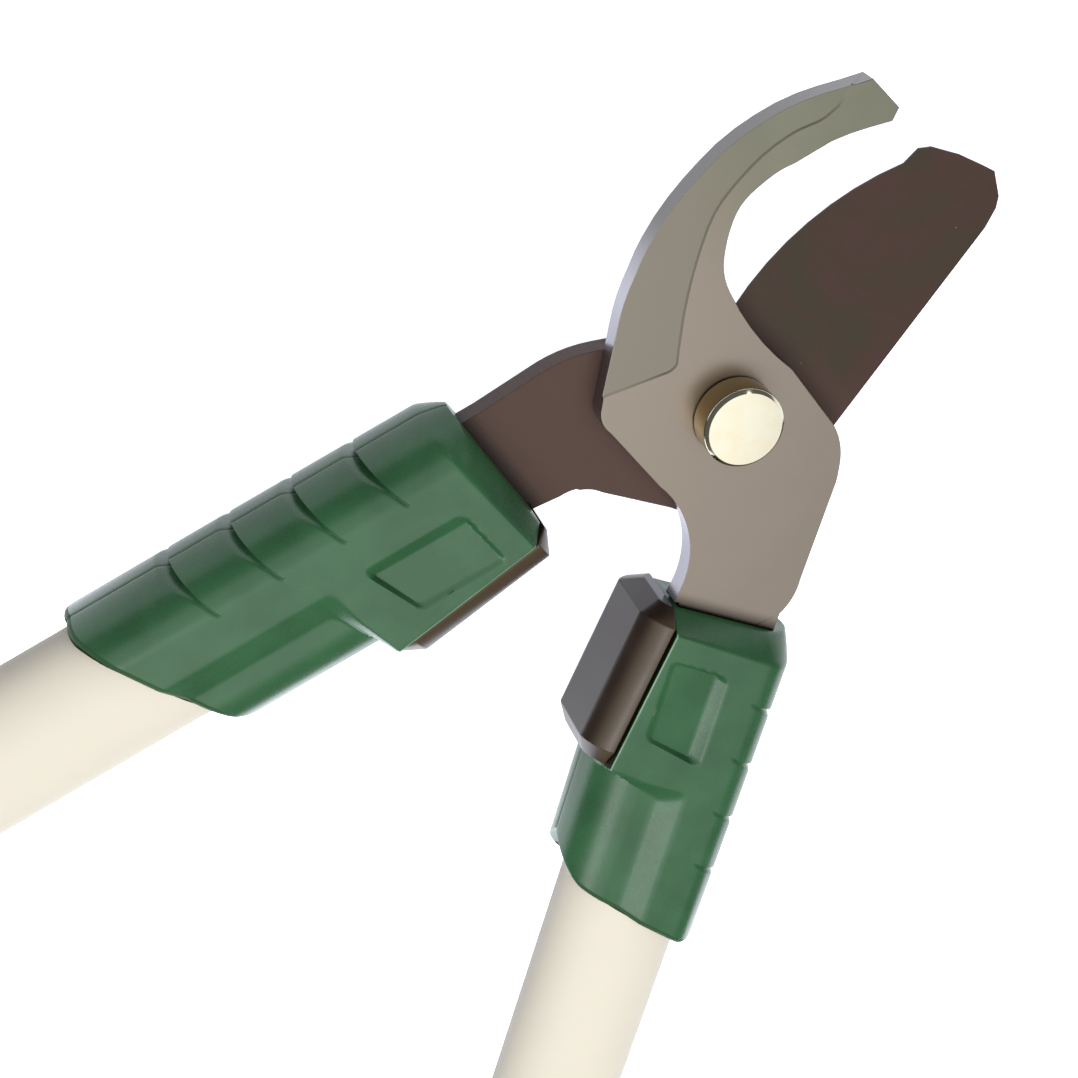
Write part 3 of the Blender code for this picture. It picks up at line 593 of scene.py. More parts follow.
def move(piece, x, y, z):
    """Moves a piece's mesh by millimetres."""
    piece.data.transform(Matrix.Translation(Vector((x, y, z)) * MM))


def turn(piece, degrees):
    """Turns a piece's mesh round the upright axis."""
    piece.data.transform(Matrix.Rotation(math.radians(degrees), 4, "Z"))


def cut_with(piece, cutter, operation="DIFFERENCE"):
    """Cuts a piece with a cutter by a Boolean modifier, and removes the cutter."""
    apply_modifier(piece, "BOOLEAN", operation=operation, object=cutter, solver="EXACT")
    bpy.data.objects.remove(cutter, do_unlink=True)


# The moulded collar, in handle coordinates; most sizes are the CAD's
SEAM = 0.04
SEAM_GROOVE = 0.16
NOSE_STEPS = 46
COLLAR_START = 42.4
COLLAR_TOP = 12.2
COLLAR_OUTER = 31.35
START_TOP = 6.0
START_INSET = 1.4
START_BEVEL = 3.2
BUMPER_ANGLE = math.radians(8.4)
SEAT_SLOPE = math.tan(BUMPER_ANGLE)
SEAT_DEPTH = 7.0
SLOT_LOW = 2.1
SLOT_HIGH = 25.1
SLOT_TOP = 5.5
TANG_END = 84.3
SOCKET_START = 87.7
SOCKET_RADII = (15.55, 9.95)
TUBE_AXIS = 13.9
FLAT_START = 5.0
OUTER_RADIUS = 8.7
OUTER_AXIS = COLLAR_OUTER - OUTER_RADIUS
BODY_RADIUS = 11.0
BODY_INNER = FLAT_START - BODY_RADIUS

# The hollow beside the lower body's flat: its depth, its upper edge and the width of its slope
HOLLOW_DEPTH = 2.2
HOLLOW_EDGE = 15.2
HOLLOW_SLOPE = 7.2
HOLLOW_START = 79.8

# Grip notches: their pitch, lean, inner end, the width of their steep wall and their number
NOTCH_PITCH = 13.3
NOTCH_LEAN = 0.42
NOTCH_INNER = 21.5
NOTCH_WALL = 0.3
NOTCH_COUNT = 4

# The pad beside the bumper: its two edges across the collar, the places of its ends on the axis
# and how they lean, the width of its steep walls and that of its broad outer slope
PAD_EDGES = (1.2, 15.4)
PAD_ENDS = ((51.1, 0.215), (69.9, 0.41))
PAD_WALL = 1.6
PAD_SLOPE = 3.3

# The collar's inner side: the share of its columns up the wall, and up to the end of its round
WALL_SHARE = 0.66
ROUND_SHARE = 0.1
OUTER_SPAN = 16.6

# For each handle: the first notch, the rim's place on the axis, its slope, the outer corner's
# radius, and how far the rim runs on at the parting plane
COLLAR_ENDS = {
    RIGHT: (59.4, 110.5, 0.43, 4.2, 0.0),
    LEFT: (61.5, 112.5, 0.49, 1.2, 2.0),
}

# How far the rim's inner corner falls back, and over what width
INNER_FALL = 6.2
INNER_WIDTH = 5.6


def seat_v(lean):
    """Where the bumper's seat lies on the cross-cut that leans from here."""
    depth = SEAT_DEPTH / math.cos(BUMPER_ANGLE)
    return (depth - SEAT_SLOPE * lean) / (1 + SEAT_SLOPE ** 2)


def row_slope(base, end, end_slope):
    """How far the row of points through a place leans: as the start, the notches or the rim."""
    if base < COLLAR_START + 10.0:
        return SEAT_SLOPE + (NOTCH_LEAN - SEAT_SLOPE) * smooth((base - COLLAR_START) / 10.0)
    return NOTCH_LEAN + (end_slope - NOTCH_LEAN) * smooth((base - end + 12.0) / 12.0)


def pad_depth(u, v):
    """Depth of the pad sunk beside the bumper: a broad slope outside, steep walls elsewhere."""
    inner = v - PAD_EDGES[0]
    outer = PAD_EDGES[1] - v
    (jaw_end, jaw_lean), (grip_end, grip_lean) = PAD_ENDS
    from_ends = min((u - jaw_end - jaw_lean * v) * 0.977, (grip_end + grip_lean * v - u) * 0.925)
    across = min(inner, outer)
    if across <= 0 or from_ends <= 0:
        return 0.0
    near_across = max(1.0 - across / (PAD_SLOPE if outer < inner else PAD_WALL), 0.0)
    reach = math.hypot(near_across, max(1.0 - from_ends / PAD_WALL, 0.0))
    share = (near_across / reach) ** 2 if reach > 0 and outer < inner else 0.0
    deep = 0.35 + 1.05 * v / 15.0 + 0.25 * (u - 51.0) / 19.0
    wide = PAD_WALL + (PAD_SLOPE - PAD_WALL) * share
    return deep * ramp((1.0 - reach) * wide / (0.75 + 2.5 * share))


def hollow_share(lean, v):
    """How far the hollow beside the lower flat has sunk here, from 0 to 1."""
    from_edge = (HOLLOW_EDGE - v) / HOLLOW_SLOPE
    from_start = (lean - HOLLOW_START) / (1.3 + 0.35 * max(v, 0.0))
    return ramp(soft_least(from_edge, from_start, 0.3), 0.2)


def notch_depth(past, across):
    """Depth of a notch: a steep wall, and a slope back that is longer towards the outside."""
    if across < -0.9 or past < 0:
        return 0.0
    deep = 0.4 * smooth((across + 0.9) / 1.2) + 1.1 * smooth((across - 3.5) / 10.0)
    run = 0.8 + 1.9 * smooth((across - 3.0) / 10.0)
    if past < NOTCH_WALL:
        return deep * past / NOTCH_WALL
    return deep * (1.0 - smooth((past - NOTCH_WALL) / run))


def collar_section(column, base, slope, first_notch, padded):
    """A point of the collar's outside: (v, w), and the direction in which it is pressed in."""
    kind, value = column
    bevel = smooth_corner((base - COLLAR_START) / START_BEVEL)
    top = START_TOP + (COLLAR_TOP - START_TOP) * bevel
    if kind == "nose":
        nose = math.radians(180.0 - 90.0 * value)
        v = FLAT_START + BODY_RADIUS * math.cos(nose)
        lean = base + (slope - SEAT_SLOPE) * v
        seat = seat_v(lean)
        round_size = sizes().seat_edge / MM
        share = (value - WALL_SHARE) / ROUND_SHARE
        if share <= 0:
            block = (seat, (top - round_size) * value / WALL_SHARE)
        elif share <= 1:
            angle = math.radians(90.0 * share)
            block = (seat + round_size * (1 - math.cos(angle)),
                     top - round_size * (1 - math.sin(angle)))
        else:
            start = seat + round_size
            over = value - WALL_SHARE - ROUND_SHARE
            across = start + (FLAT_START - start) * over / (1.0 - WALL_SHARE - ROUND_SHARE)
            block = (across, top - (pad_depth(base + slope * across, across) if padded else 0.0))
        body = (v, (COLLAR_TOP - HOLLOW_DEPTH) * math.sin(nose))
        share = hollow_share(lean, min(v, FLAT_START))
        inward = (-math.cos(nose), -math.sin(nose)) if share > 0.5 else (0.0, -1.0)
        return (*(first + (second - first) * share for first, second in zip(block, body)), inward)
    if kind == "flat":
        v = value
        u = base + slope * v
        w = top - HOLLOW_DEPTH * hollow_share(u - SEAT_SLOPE * v, v)
        w -= pad_depth(u, v) if padded else 0.0
        across = v - OUTER_AXIS
        inward = (0.0, -1.0)
    else:
        angle = math.radians(value)
        v = OUTER_AXIS + (OUTER_RADIUS - START_INSET * (1 - bevel)) * math.cos(angle)
        w = top * math.sin(angle)
        across = (90.0 - value) / 90.0 * OUTER_SPAN
        press = (math.cos(angle) / OUTER_RADIUS, math.sin(angle) / COLLAR_TOP)
        inward = tuple(-part / math.hypot(*press) for part in press)
    from_first = base + slope * NOTCH_INNER - first_notch
    number = min(max(round(from_first / NOTCH_PITCH - 0.1), 0), NOTCH_COUNT - 1)
    deep = notch_depth(from_first - number * NOTCH_PITCH, across)
    return v + inward[0] * deep, w + inward[1] * deep, inward


def smooth_corner(share, softness=0.12):
    """Grows evenly to 1, and turns into it softly."""
    left = 1.0 - share
    if abs(left) >= softness:
        return 1.0 - max(left, 0.0)
    return 1.0 - (left + softness) ** 2 / (4 * softness)


def collar_columns(cell):
    """Places across the collar: up its inner side, over its flat, and down its outer round."""
    columns = [("nose", step / NOSE_STEPS) for step in range(NOSE_STEPS)]
    flats = round((OUTER_AXIS - FLAT_START) / cell)
    columns += [("flat", FLAT_START + (OUTER_AXIS - FLAT_START) * step / flats) for step in range(flats)]
    rounds = round(OUTER_SPAN / cell)
    return columns + [("round", 90.0 - 90.0 * step / rounds) for step in range(rounds + 1)]


def collar_rows(cell, first_notch, end):
    """Places along the collar, closer together at the start's bevel and at the notches."""
    rows = [COLLAR_START + step * cell for step in range(int((end - COLLAR_START) / cell))]
    close = [COLLAR_START + START_BEVEL + offset for offset in (-0.36, -0.2, 0.0, 0.2, 0.36)]
    for number in range(NOTCH_COUNT):
        start = first_notch - NOTCH_LEAN * NOTCH_INNER + NOTCH_PITCH * number
        close += [start + offset for offset in (-0.1, 0.0, 0.1, 0.2, 0.3, 0.4, 0.55, 0.75)]
    rows = [row for row in rows if min(abs(row - other) for other in close) > 0.12]
    return sorted(rows + close + [end])


def rim_u(side, v, w):
    """Where the collar ends, with its corners rounded off in plan."""
    _, end, slope, radius, run_on = COLLAR_ENDS[side]
    u = end + slope * v + run_on * max(0.0, (v - OUTER_AXIS) / OUTER_RADIUS) * (1.0 - w / COLLAR_TOP)
    for reach, depth, width in (
        (v - BODY_INNER, INNER_FALL, INNER_WIDTH),
        (COLLAR_OUTER - v, 1.6 * radius, 1.44 * radius),
    ):
        if reach < width:
            near = 1.0 - max(reach, 0.0) / width
            u -= depth * (1.0 - math.sqrt(1.0 - near * near))
    return u


def collar_points(side, slotted, padded):
    """Rows of points round a half shell: along its outside, over its rim and back inside."""
    cell = sizes().collar_cell / MM
    rim = sizes().collar_rim / MM
    first_notch, end, end_slope, _, _ = COLLAR_ENDS[side]
    columns = collar_columns(cell)
    rows = []
    for base in collar_rows(cell, first_notch, end - rim):
        slope = row_slope(base, end, end_slope)
        close = smooth((base - end + 16.0) / (16.0 - rim))
        row = []
        presses = []
        for column in columns:
            v, w, inward = collar_section(column, base, slope, first_notch, padded)
            presses.append(inward)
            u = base + slope * v
            if close > 0:
                u += close * (rim_u(side, v, w) - end - end_slope * v)
            if w < SEAM:
                v += SEAM_GROOVE if column[0] == "nose" else -SEAM_GROOVE
            row.append((u, v, max(w, SEAM)))
        rows.append(row)
    last = rows[-1]
    for step in range(1, 7):
        sine = math.sin(math.radians(15.0 * step))
        fall = 1 - math.cos(math.radians(15.0 * step))
        row = []
        for (u, v, w), inward in zip(last, presses):
            radius = rim * (0.25 + 0.75 * smooth((v - BODY_INNER) / INNER_WIDTH))
            row.append((
                u + radius * sine, v + inward[0] * radius * fall,
                max(w + inward[1] * radius * fall, SEAM)))
        rows.append(row)
    wide, deep = SOCKET_RADII
    socket = []
    for u, v, w in rows[-1]:
        angle = math.atan2(max(w - SEAM, 0.0) / deep, (v - TUBE_AXIS) / wide)
        socket.append((
            u, TUBE_AXIS + wide * math.cos(angle), max(deep * math.sin(angle), SEAM)))
    rows.append([(min(u, rim_u(side, v, w)), v, w) for u, v, w in socket])
    rows.append([(SOCKET_START, v, w) for u, v, w in socket])
    slot_top = SLOT_TOP if slotted else SEAM
    slot = [(min(max(v, SLOT_LOW), SLOT_HIGH), min(w, slot_top)) for u, v, w in rows[0]]
    rows.append([(TANG_END, v, w) for v, w in slot])
    rows.append([(COLLAR_START + SEAT_SLOPE * v, v, w) for v, w in slot])
    return rows + rows[:1]


# Rows of the collar's grid, counted from its last one: where the painted shade on the lip round the
# socket starts and ends, and where the painted shade on the rim ends; and the columns between which
# the edge by the bumper carries a painted highlight
LIP_START = 5
LIP_END = 9
RIM_END = 12
HIGHLIGHT_START = 29
HIGHLIGHT_END = 35


def collar_slot(face, from_end, column):
    """A face's finish: green, painted shade on the lip, the seat or the rim, or a painted highlight."""
    nose = column < NOSE_STEPS // 2
    middle = face.center / MM
    # painted shade: near-black green on the lip round the socket, where the collar overhangs the tube
    if LIP_START <= from_end <= (LIP_START if nose else LIP_END):
        return 1
    # painted shade: darker green on the rim's rounding
    if LIP_END < from_end <= RIM_END and not nose:
        return 2
    # painted shade: near-black green on the seat wall beside the bumper
    if middle.z > 6.5 and abs(face.normal.y) > 0.9 and middle.y < FLAT_START:
        return 1
    # painted highlight: pale green along the collar's edge by the bumper
    highlit = middle.z > COLLAR_TOP - 0.4 and from_end > RIM_END and HIGHLIGHT_START < column < HIGHLIGHT_END
    return 3 if highlit else 0


def collar_shell(name, side, slotted, padded):
    """A half shell: a fine grid laid over its outside, its rim and its inside, and closed.

    The grid's corners are placed one by one, because the mould's slopes run into each other
    more softly than edit mode's bevels and insets can.
    """
    rows = collar_points(side, slotted, padded)
    tall = len(rows)
    wide = len(rows[0])
    shell = primitive(
        bpy.ops.mesh.primitive_grid_add, name, x_subdivisions=wide - 1, y_subdivisions=tall - 1)
    for corner in shell.data.vertices:
        column = round((corner.co.x + 1.0) / 2.0 * (wide - 1))
        row = round((corner.co.y + 1.0) / 2.0 * (tall - 1))
        corner.co = Vector(rows[row][column]) * MM
    for number, face in enumerate(shell.data.polygons):
        row, column = divmod(number, wide - 1)
        face.material_index = collar_slot(face, tall - row, column)
    edit(shell)
    take_all()
    bpy.ops.mesh.remove_doubles(threshold=MERGE)
    for inner in (True, False):
        choose(shell, "EDGE", lambda edge: edge.is_boundary
               and (edge.verts[0].co.y < TUBE_AXIS * MM) == inner)
        bpy.ops.mesh.edge_face_add()
    close_faces()
    return shell


class LOPPER_OT_collars(bpy.types.Operator):
    """Mould the collars' half shells"""

    bl_idname = "lopper.collars"
    bl_label = "Collars"

    def execute(self, context):
        tones = colours()
        finishes = [
            moulded_polypropylene("green_polypropylene", tones.green, tones.green_shade),
            moulded_polypropylene(
                # slots 1 and 2 are painted shade in near-black and darker green; slot 3 is a painted
                # highlight in pale green
                "polypropylene_painted_shade", linear("#1B2416"), linear("#14190E"), 0.6, index=1.15),
            moulded_polypropylene(
                "rim_painted_shade_polypropylene", linear("#365A38"), linear("#2F4F31"), 0.5, index=1.2),
            moulded_polypropylene(
                "polypropylene_painted_highlight_edge", linear("#86A98D"), linear("#5F8A69"))]
        for handle in HANDLES:
            side, name, _ = handle
            for part, face in (("front", RIGHT), ("back", LEFT)):
                shell = collar_shell(
                    f"{name}_collar_{part}_shell", side, face == side, part == "front")
                if part == "back":
                    shell.data.transform(Matrix.Diagonal((1.0, 1.0, -1.0, 1.0)))
                    shell.data.flip_normals()
                    sink_screws(shell)
                set_down(shell, handle, "collar_" + part, finishes, 40.0)
        return {"FINISHED"}


def rise(face):
    """How tall a face stands."""
    heights = sorted(corner.co.z for corner in face.verts)
    return heights[-1] - heights[0]


def on_outline(edge):
    """Whether an edge runs round the outline of a jaw, away from its bore and its thin land."""
    walls = [face for face in edge.link_faces if abs(face.normal.z) < 0.6]
    middle = (edge.verts[0].co + edge.verts[1].co) / 2
    return len(walls) == 1 and rise(walls[0]) > 2 * MM and middle.xy.length > 8 * MM


def sort_faces(piece, kind):
    """Gives each face of a piece the material slot that a rule returns for it."""
    edit(piece)
    bm = bmesh.from_edit_mesh(piece.data)
    for face in bm.faces:
        face.material_index = kind(face)
    bmesh.update_edit_mesh(piece.data)
    leave()


def push_walls(piece, is_wall, rule):
    """Moves the corners of a plate's walls by a rule on their place and direction outwards."""
    edit(piece)
    bm = bmesh.from_edit_mesh(piece.data)
    moves = []
    for corner in bm.verts:
        walls = [face.normal.xy for face in corner.link_faces if is_wall(face)]
        if walls:
            outward = sum(walls, Vector((0.0, 0.0))).normalized()
            moves.append((corner, rule(corner.co / MM, outward) * MM))
    for corner, step in moves:
        corner.co.xy += step
    bmesh.update_edit_mesh(piece.data)
    leave()


def ease_outline(piece, ease):
    """Moves a plate's outline outwards by a rule."""
    push_walls(
        piece, lambda face: abs(face.normal.z) < 0.6 and rise(face) > MM,
        lambda place, outward: ease(place, outward) * outward)


def between(value, start, end, run):
    """Grows from 0 to 1 past one place and falls back before another, over a run."""
    return smooth((value - start) / run) * smooth((end - value) / run)


def hook_ease(place, outward):
    """The hook's mouth side stands further out than the CAD's, and its back further in."""
    mouth = smooth((outward.dot(Vector((0.86, -0.5))) + 0.1) / 0.5)
    swell = 1.0 * smooth((place.y - 14.0) / 14.0) + 0.8 * smooth((place.y - 30.0) / 9.0)
    swell -= 0.6 * smooth((place.y - 46.0) / 7.0)
    back = 0.5 * smooth((place.y - 58.0) / 3.0) if outward.y > 0.6 else 0.0
    if outward.x < -0.5:
        back = 0.4 * between(place.y, 30.0, 60.0, 10.0) - 0.75 * between(place.y, -8.0, 17.0, 8.0)
    flank = 0.7 * smooth((4.0 - place.y) / 6.0) if outward.x > 0.6 else 0.0
    return mouth * swell + back + flank


def blade_ease(place, outward):
    """The cutting edge and the tang's lower edge stand a little further out than the CAD's."""
    if place.x > 10:
        return 1.6 * smooth((place.y + 2.0) / 26.0) * smooth((outward.x + 0.2) / 0.8) * (
            1.0 - 0.4 * smooth((place.y - 56.0) / 4.0))
    if outward.y < -0.7 and place.x < 5:
        return 0.35
    return 0.0


def band_x(y):
    """How far left the band's inner wall runs at a height: a smooth curve through its points."""
    number = 1
    while number < len(BAND_LINE) - 3 and y > BAND_LINE[number + 1][1]:
        number += 1
    before, start, end, after = BAND_LINE[number - 1:number + 3]
    run = end[1] - start[1]
    share = min(max((y - start[1]) / run, 0.0), 1.0)
    first = (end[0] - before[0]) / (end[1] - before[1]) * run
    second = (after[0] - start[0]) / (after[1] - start[1]) * run
    swell = smooth(share)
    return (start[0] + (end[0] - start[0]) * swell + first * share * (1.0 - share) ** 2
            - second * share ** 2 * (1.0 - share))


def press_band(hook, top):
    """Moves the pressed band's inner wall to its line, makes it a slope and its floor shallower."""
    def onto_line(place, inward):
        on_line = band_x(place.y) - place.x if place.y > 1.0 else 0.0
        slope = inward * (BAND_SLOPE if place.z < top / MM - 0.1 else 0.0)
        return Vector((on_line * between(place.y, 1.0, 57.0, 3.0), 0.0)) + slope

    push_walls(hook, lambda face: face.material_index == 3, onto_line)
    for corner in hook.data.vertices:
        if top - 1 * MM < corner.co.z < top - 0.1 * MM:
            corner.co.z = top - BAND_DEPTH * MM


# The pressed band: its depth, the width of the slope down to it, and its wall's line as (x, y)
BAND_DEPTH = 0.25
BAND_SLOPE = 0.4
BAND_LINE = (
    (-14.6, -1.0), (-17.3, 3.2), (-22.4, 11.0), (-26.9, 19.5), (-30.1, 28.0), (-30.4, 35.5),
    (-29.6, 42.0), (-27.6, 48.0), (-24.7, 53.0), (-24.1, 57.0), (-24.3, 61.0))


def finish_jaw(jaw, degrees, edge_slot, body, slot, node, *materials):
    """Rounds a jaw's outline, gives the rounding a slot of its own, and finishes the jaw."""
    edit(jaw)
    break_edges(jaw, degrees, sizes().jaw_edge, 3, on_outline, edge_slot)
    leave()
    finish(jaw, *materials)
    shade(jaw, flat=True)
    ready(jaw, body, node)


class LOPPER_OT_jaws(bpy.types.Operator):
    """Finish the hook and the cutting blade"""

    bl_idname = "lopper.jaws"
    bl_label = "Jaws"

    def execute(self, context):
        tones = colours()
        hook = copied("hook_jaw", "hook_plate")
        top = max(corner.co.z for corner in hook.data.vertices)

        def hook_slot(face):
            if abs(face.normal.z) < 0.5:
                # low walls of the pressed band take slot 3, darker nickel as painted shade
                return 3 if rise(face) < 1 * MM else 2
            return 1 if top - 1 * MM < face.calc_center_median().z < top - 0.1 * MM else 0

        sort_faces(hook, hook_slot)
        ease_outline(hook, hook_ease)
        press_band(hook, top)
        finish_jaw(
            hook, 40, 2, "hook_half", "satin_steel", "hook_jaw",
            satin_nickel("satin_nickel_plate", tones.nickel, tones.nickel_shaded_tip, 0.4),
            satin_nickel("satin_nickel_pressed", tones.nickel_band, tones.nickel_shaded_tip, 0.42),
            # painted reflection: the polished edge fades to dark grey between 4 and 22 mm on y, as its
            # reflections darken
            satin_nickel(
                "polished_nickel_edge", tones.nickel_edge, linear("#5E5D5B"), 0.2, (4.0, 22.0)),
            # painted shade: the pressed band's low wall is darker nickel, for the thin shade line along
            # the band
            satin_nickel("nickel_painted_shade_wall", linear("#746E64"), linear("#737163"), 0.45))

        blade = copied("cutting_blade", "coated_blade")
        sort_faces(blade, lambda face: 0)
        ease_outline(blade, blade_ease)
        finish_jaw(
            blade, 50, 1, "blade_half", "blade_coat", "cutting_blade",
            baked_coating("baked_non_stick_coating", tones.coating, tones.coating_shade),
            # painted highlight: the blade's rounded outline is a lighter brown, for the glint along its
            # edge
            baked_coating("coating_edge_painted_highlight", linear("#8E7A70"), linear("#7A685E")))
        return {"FINISHED"}


# Heights of the pivot's parts over the jaws' plane, and their radii
HEAD_FLOOR = 5.15
HEAD_TOP = 11.45
HEAD_RADIUS = 8.2
HEAD_SHIFT = (0.8, -0.35)
SHANK_RADIUS = 5.0
BORE_RADIUS = 5.3
BOLT_TAIL = -14.55
NUT_TOP = -8.35
NUT_FLOOR = -13.95
NUT_CORNER = 17.0 / math.sqrt(3)
PIVOT_SIDES = 96


def stack(piece, slot, node, *materials):
    """Finishes a part of the pivot and sets it at its height on the bolt's axis."""
    finish(piece, *materials)
    move(piece, 0.0, 0.0, JAW_PLANE)
    shade(piece)
    ready(piece, "hook_half", node)


class LOPPER_OT_pivot(bpy.types.Operator):
    """Turn the pivot bolt, its bush, washers and nut"""

    bl_idname = "lopper.pivot"
    bl_label = "Pivot"

    def execute(self, context):
        edge = sizes().bolt_edge / MM
        bolt = turned("pivot_bolt_turned", PIVOT_SIDES, [
            (BOLT_TAIL, SHANK_RADIUS - 0.6), (BOLT_TAIL + 0.6, SHANK_RADIUS),
            (HEAD_FLOOR, SHANK_RADIUS), (HEAD_FLOOR, HEAD_RADIUS),
            (HEAD_TOP - 0.75, HEAD_RADIUS), (HEAD_TOP, HEAD_RADIUS - 0.75)], edge)
        sort_faces(bolt, lambda face: 0 if face.calc_center_median().z > (HEAD_TOP - 0.8) * MM else 1)
        for corner in bolt.data.vertices:
            if corner.co.z > (HEAD_FLOOR - 0.01) * MM and corner.co.xy.length > (SHANK_RADIUS + 0.5) * MM:
                corner.co.xy += Vector(HEAD_SHIFT) * MM
        stack(bolt, "yellow_plated_steel", "pivot_bolt",
              yellow_chromate("yellow_chromate_zinc", colours().yellow_zinc, 0.14),
              # the second finish, on the head's side and shank, is darker as painted shade
              yellow_chromate("chromate_zinc_painted_shade", colours().bolt_side_shade, 0.2))

        zinc = bright_zinc()
        for name, node, inside, outside, radius in (
            ("pivot_bush_sleeve", "pivot_bush", (-4.85, 4.85), (-4.85, 4.85), 7.0),
            ("pivot_flat_washer", "pivot_washer", (-6.35, -5.15), (-6.35, -5.15), 11.0),
            ("pivot_spring_washer", "pivot_cone_washer", (-7.55, -6.65), (-8.05, -7.15), 9.5),
        ):
            corners = [(inside[0], BORE_RADIUS), (outside[0], radius), (outside[1], radius),
                       (inside[1], BORE_RADIUS), (inside[0], BORE_RADIUS)]
            stack(turned(name, PIVOT_SIDES, corners, edge, True), "zinc_steel", node, zinc)

        nut = turned("pivot_hex_nut", 6, [(NUT_FLOOR, NUT_CORNER), (NUT_TOP, NUT_CORNER)])
        turn(nut, 30)
        cut_with(nut, turned("nut_blank", PIVOT_SIDES, [
            (NUT_FLOOR, 8.2), (NUT_FLOOR + 0.95, NUT_CORNER + 0.1),
            (NUT_TOP - 0.95, NUT_CORNER + 0.1), (NUT_TOP, 8.2)]), "INTERSECT")
        cut_with(nut, turned("nut_bore", PIVOT_SIDES, [
            (NUT_FLOOR - 0.2, 6.2), (NUT_FLOOR + 0.7, BORE_RADIUS),
            (NUT_TOP - 0.7, BORE_RADIUS), (NUT_TOP + 0.2, 6.2)]))
        stack(nut, "zinc_steel", "pivot_nut", zinc)
        return {"FINISHED"}


# The bumper: its length, its thickness and its half heights; for each end the chamfer's length,
# its depth, and the half height that is left at the very end
BUMPER_LENGTH = 36.4
BUMPER_THICKNESS = 6.55
BUMPER_START = COLLAR_START * math.cos(BUMPER_ANGLE) - 0.3
BUMPER_TOP = 11.2
BUMPER_FACE = 6.5
BUMPER_PROFILE = 0.36
BUMPER_ENDS = ((2.8, 4.0, 7.2), (3.8, 2.6, 9.5))


def bumper_block(name):
    """A moulded block along x, out along y: one face is flat, and rounds off to the front and back."""
    round_width = BUMPER_TOP - BUMPER_FACE
    squeeze = round_width / (BUMPER_THICKNESS * 0.93 - 0.25)
    block = primitive(
        bpy.ops.mesh.primitive_cube_add, name, size=1.0, location=(BUMPER_LENGTH / 2 * MM, 0.0, 0.0),
        scale=(BUMPER_LENGTH * MM, BUMPER_THICKNESS * squeeze * MM, 2 * BUMPER_TOP * MM))
    front = -BUMPER_THICKNESS * squeeze / 2 * MM
    edit(block)
    choose(block, "EDGE", lambda edge: all(
        abs(corner.co.y - front) < 1e-6 for corner in edge.verts)
        and abs(edge.verts[0].co.z - edge.verts[1].co.z) < 1e-6)
    bpy.ops.mesh.bevel(
        offset=round_width * MM, segments=12, profile=BUMPER_PROFILE, affect="EDGES")
    take_all()
    bpy.ops.transform.resize(value=(1.0, 1.0 / squeeze, 1.0), center_override=(0.0, 0.0, 0.0))
    for place in (BUMPER_ENDS[0][0], BUMPER_LENGTH - BUMPER_ENDS[1][0]):
        take_all()
        bpy.ops.mesh.bisect(plane_co=(place * MM, 0.0, 0.0), plane_no=(1.0, 0.0, 0.0))
    for place, (_, fall, height) in zip((0.0, BUMPER_LENGTH), BUMPER_ENDS):
        choose(block, "VERT", lambda corner: abs(corner.co.x - place * MM) < 1e-6)
        bpy.ops.transform.resize(
            value=(1.0, 1.0 - fall / BUMPER_THICKNESS, height / BUMPER_TOP),
            center_override=(place * MM, BUMPER_THICKNESS / 2 * MM, 0.0))
    break_edges(block, 17, sizes().bumper_edge, 3)
    leave()
    # painted highlight: the jaw-end face takes polished nickel, a guessed core whose brightness stands
    # for the highlight on that end
    sort_faces(block, lambda face: 1 if face.normal.x < -0.95 else 0)
    move(block, BUMPER_START, HALF_GAP + BUMPER_THICKNESS / 2, 0.0)
    turn(block, -math.degrees(BUMPER_ANGLE))
    return block


class LOPPER_OT_bumpers(bpy.types.Operator):
    """Mould the bumpers"""

    bl_idname = "lopper.bumpers"
    bl_label = "Bumpers"

    def execute(self, context):
        edge = colours().nickel_edge
        # the second finish is a guessed polished nickel core, standing for the bright highlight on the
        # jaw end
        finishes = [bumper_elastomer(), satin_nickel("guessed_nickel_core_highlight", edge, edge, 0.2)]
        for handle in HANDLES:
            block = bumper_block(handle[1] + "_bumper_block")
            set_down(block, handle, "bumper", finishes, flat=True)
        return {"FINISHED"}


# The tube and the grip: where they start and end, their half widths and the sleeve's wall
TUBE_START = 88.0
TUBE_END = 608.0
TUBE_HALF = (15.1, 9.5)
TUBE_WALL = 1.2
GRIP_START = 443.0
GRIP_WALLS = (3.2, 4.1, 3.9, 3.7, 4.5, 3.8)
GRIP_RIBS = (486.0, 566.0)
RIB_PITCH = 8.0
RIB_DEPTH = 0.8
GRIP_STEPS = 150
GRIP_SIDES = 72
CAP_THICKNESS = 5.0
CAP_ROUND = 2.2


ALONG_HANDLE = Matrix((
    (0.0, 0.0, 1.0, 0.0), (1.0, 0.0, 0.0, TUBE_AXIS * MM),
    (0.0, 1.0, 0.0, 0.0), (0.0, 0.0, 0.0, 1.0)))


def draw_along(handle, name, sides, steps, closed, made, node):
    """A piece with the tube's oval grown step by step along its handle, finished and set down."""
    wide, deep = TUBE_HALF
    profile = [(place, wide + growth, deep + growth) for place, growth in steps]
    piece = drawn(f"{handle[1]}_{name}", sides, profile, closed)
    piece.data.transform(ALONG_HANDLE)
    set_down(piece, handle, node, [made], 35.0)


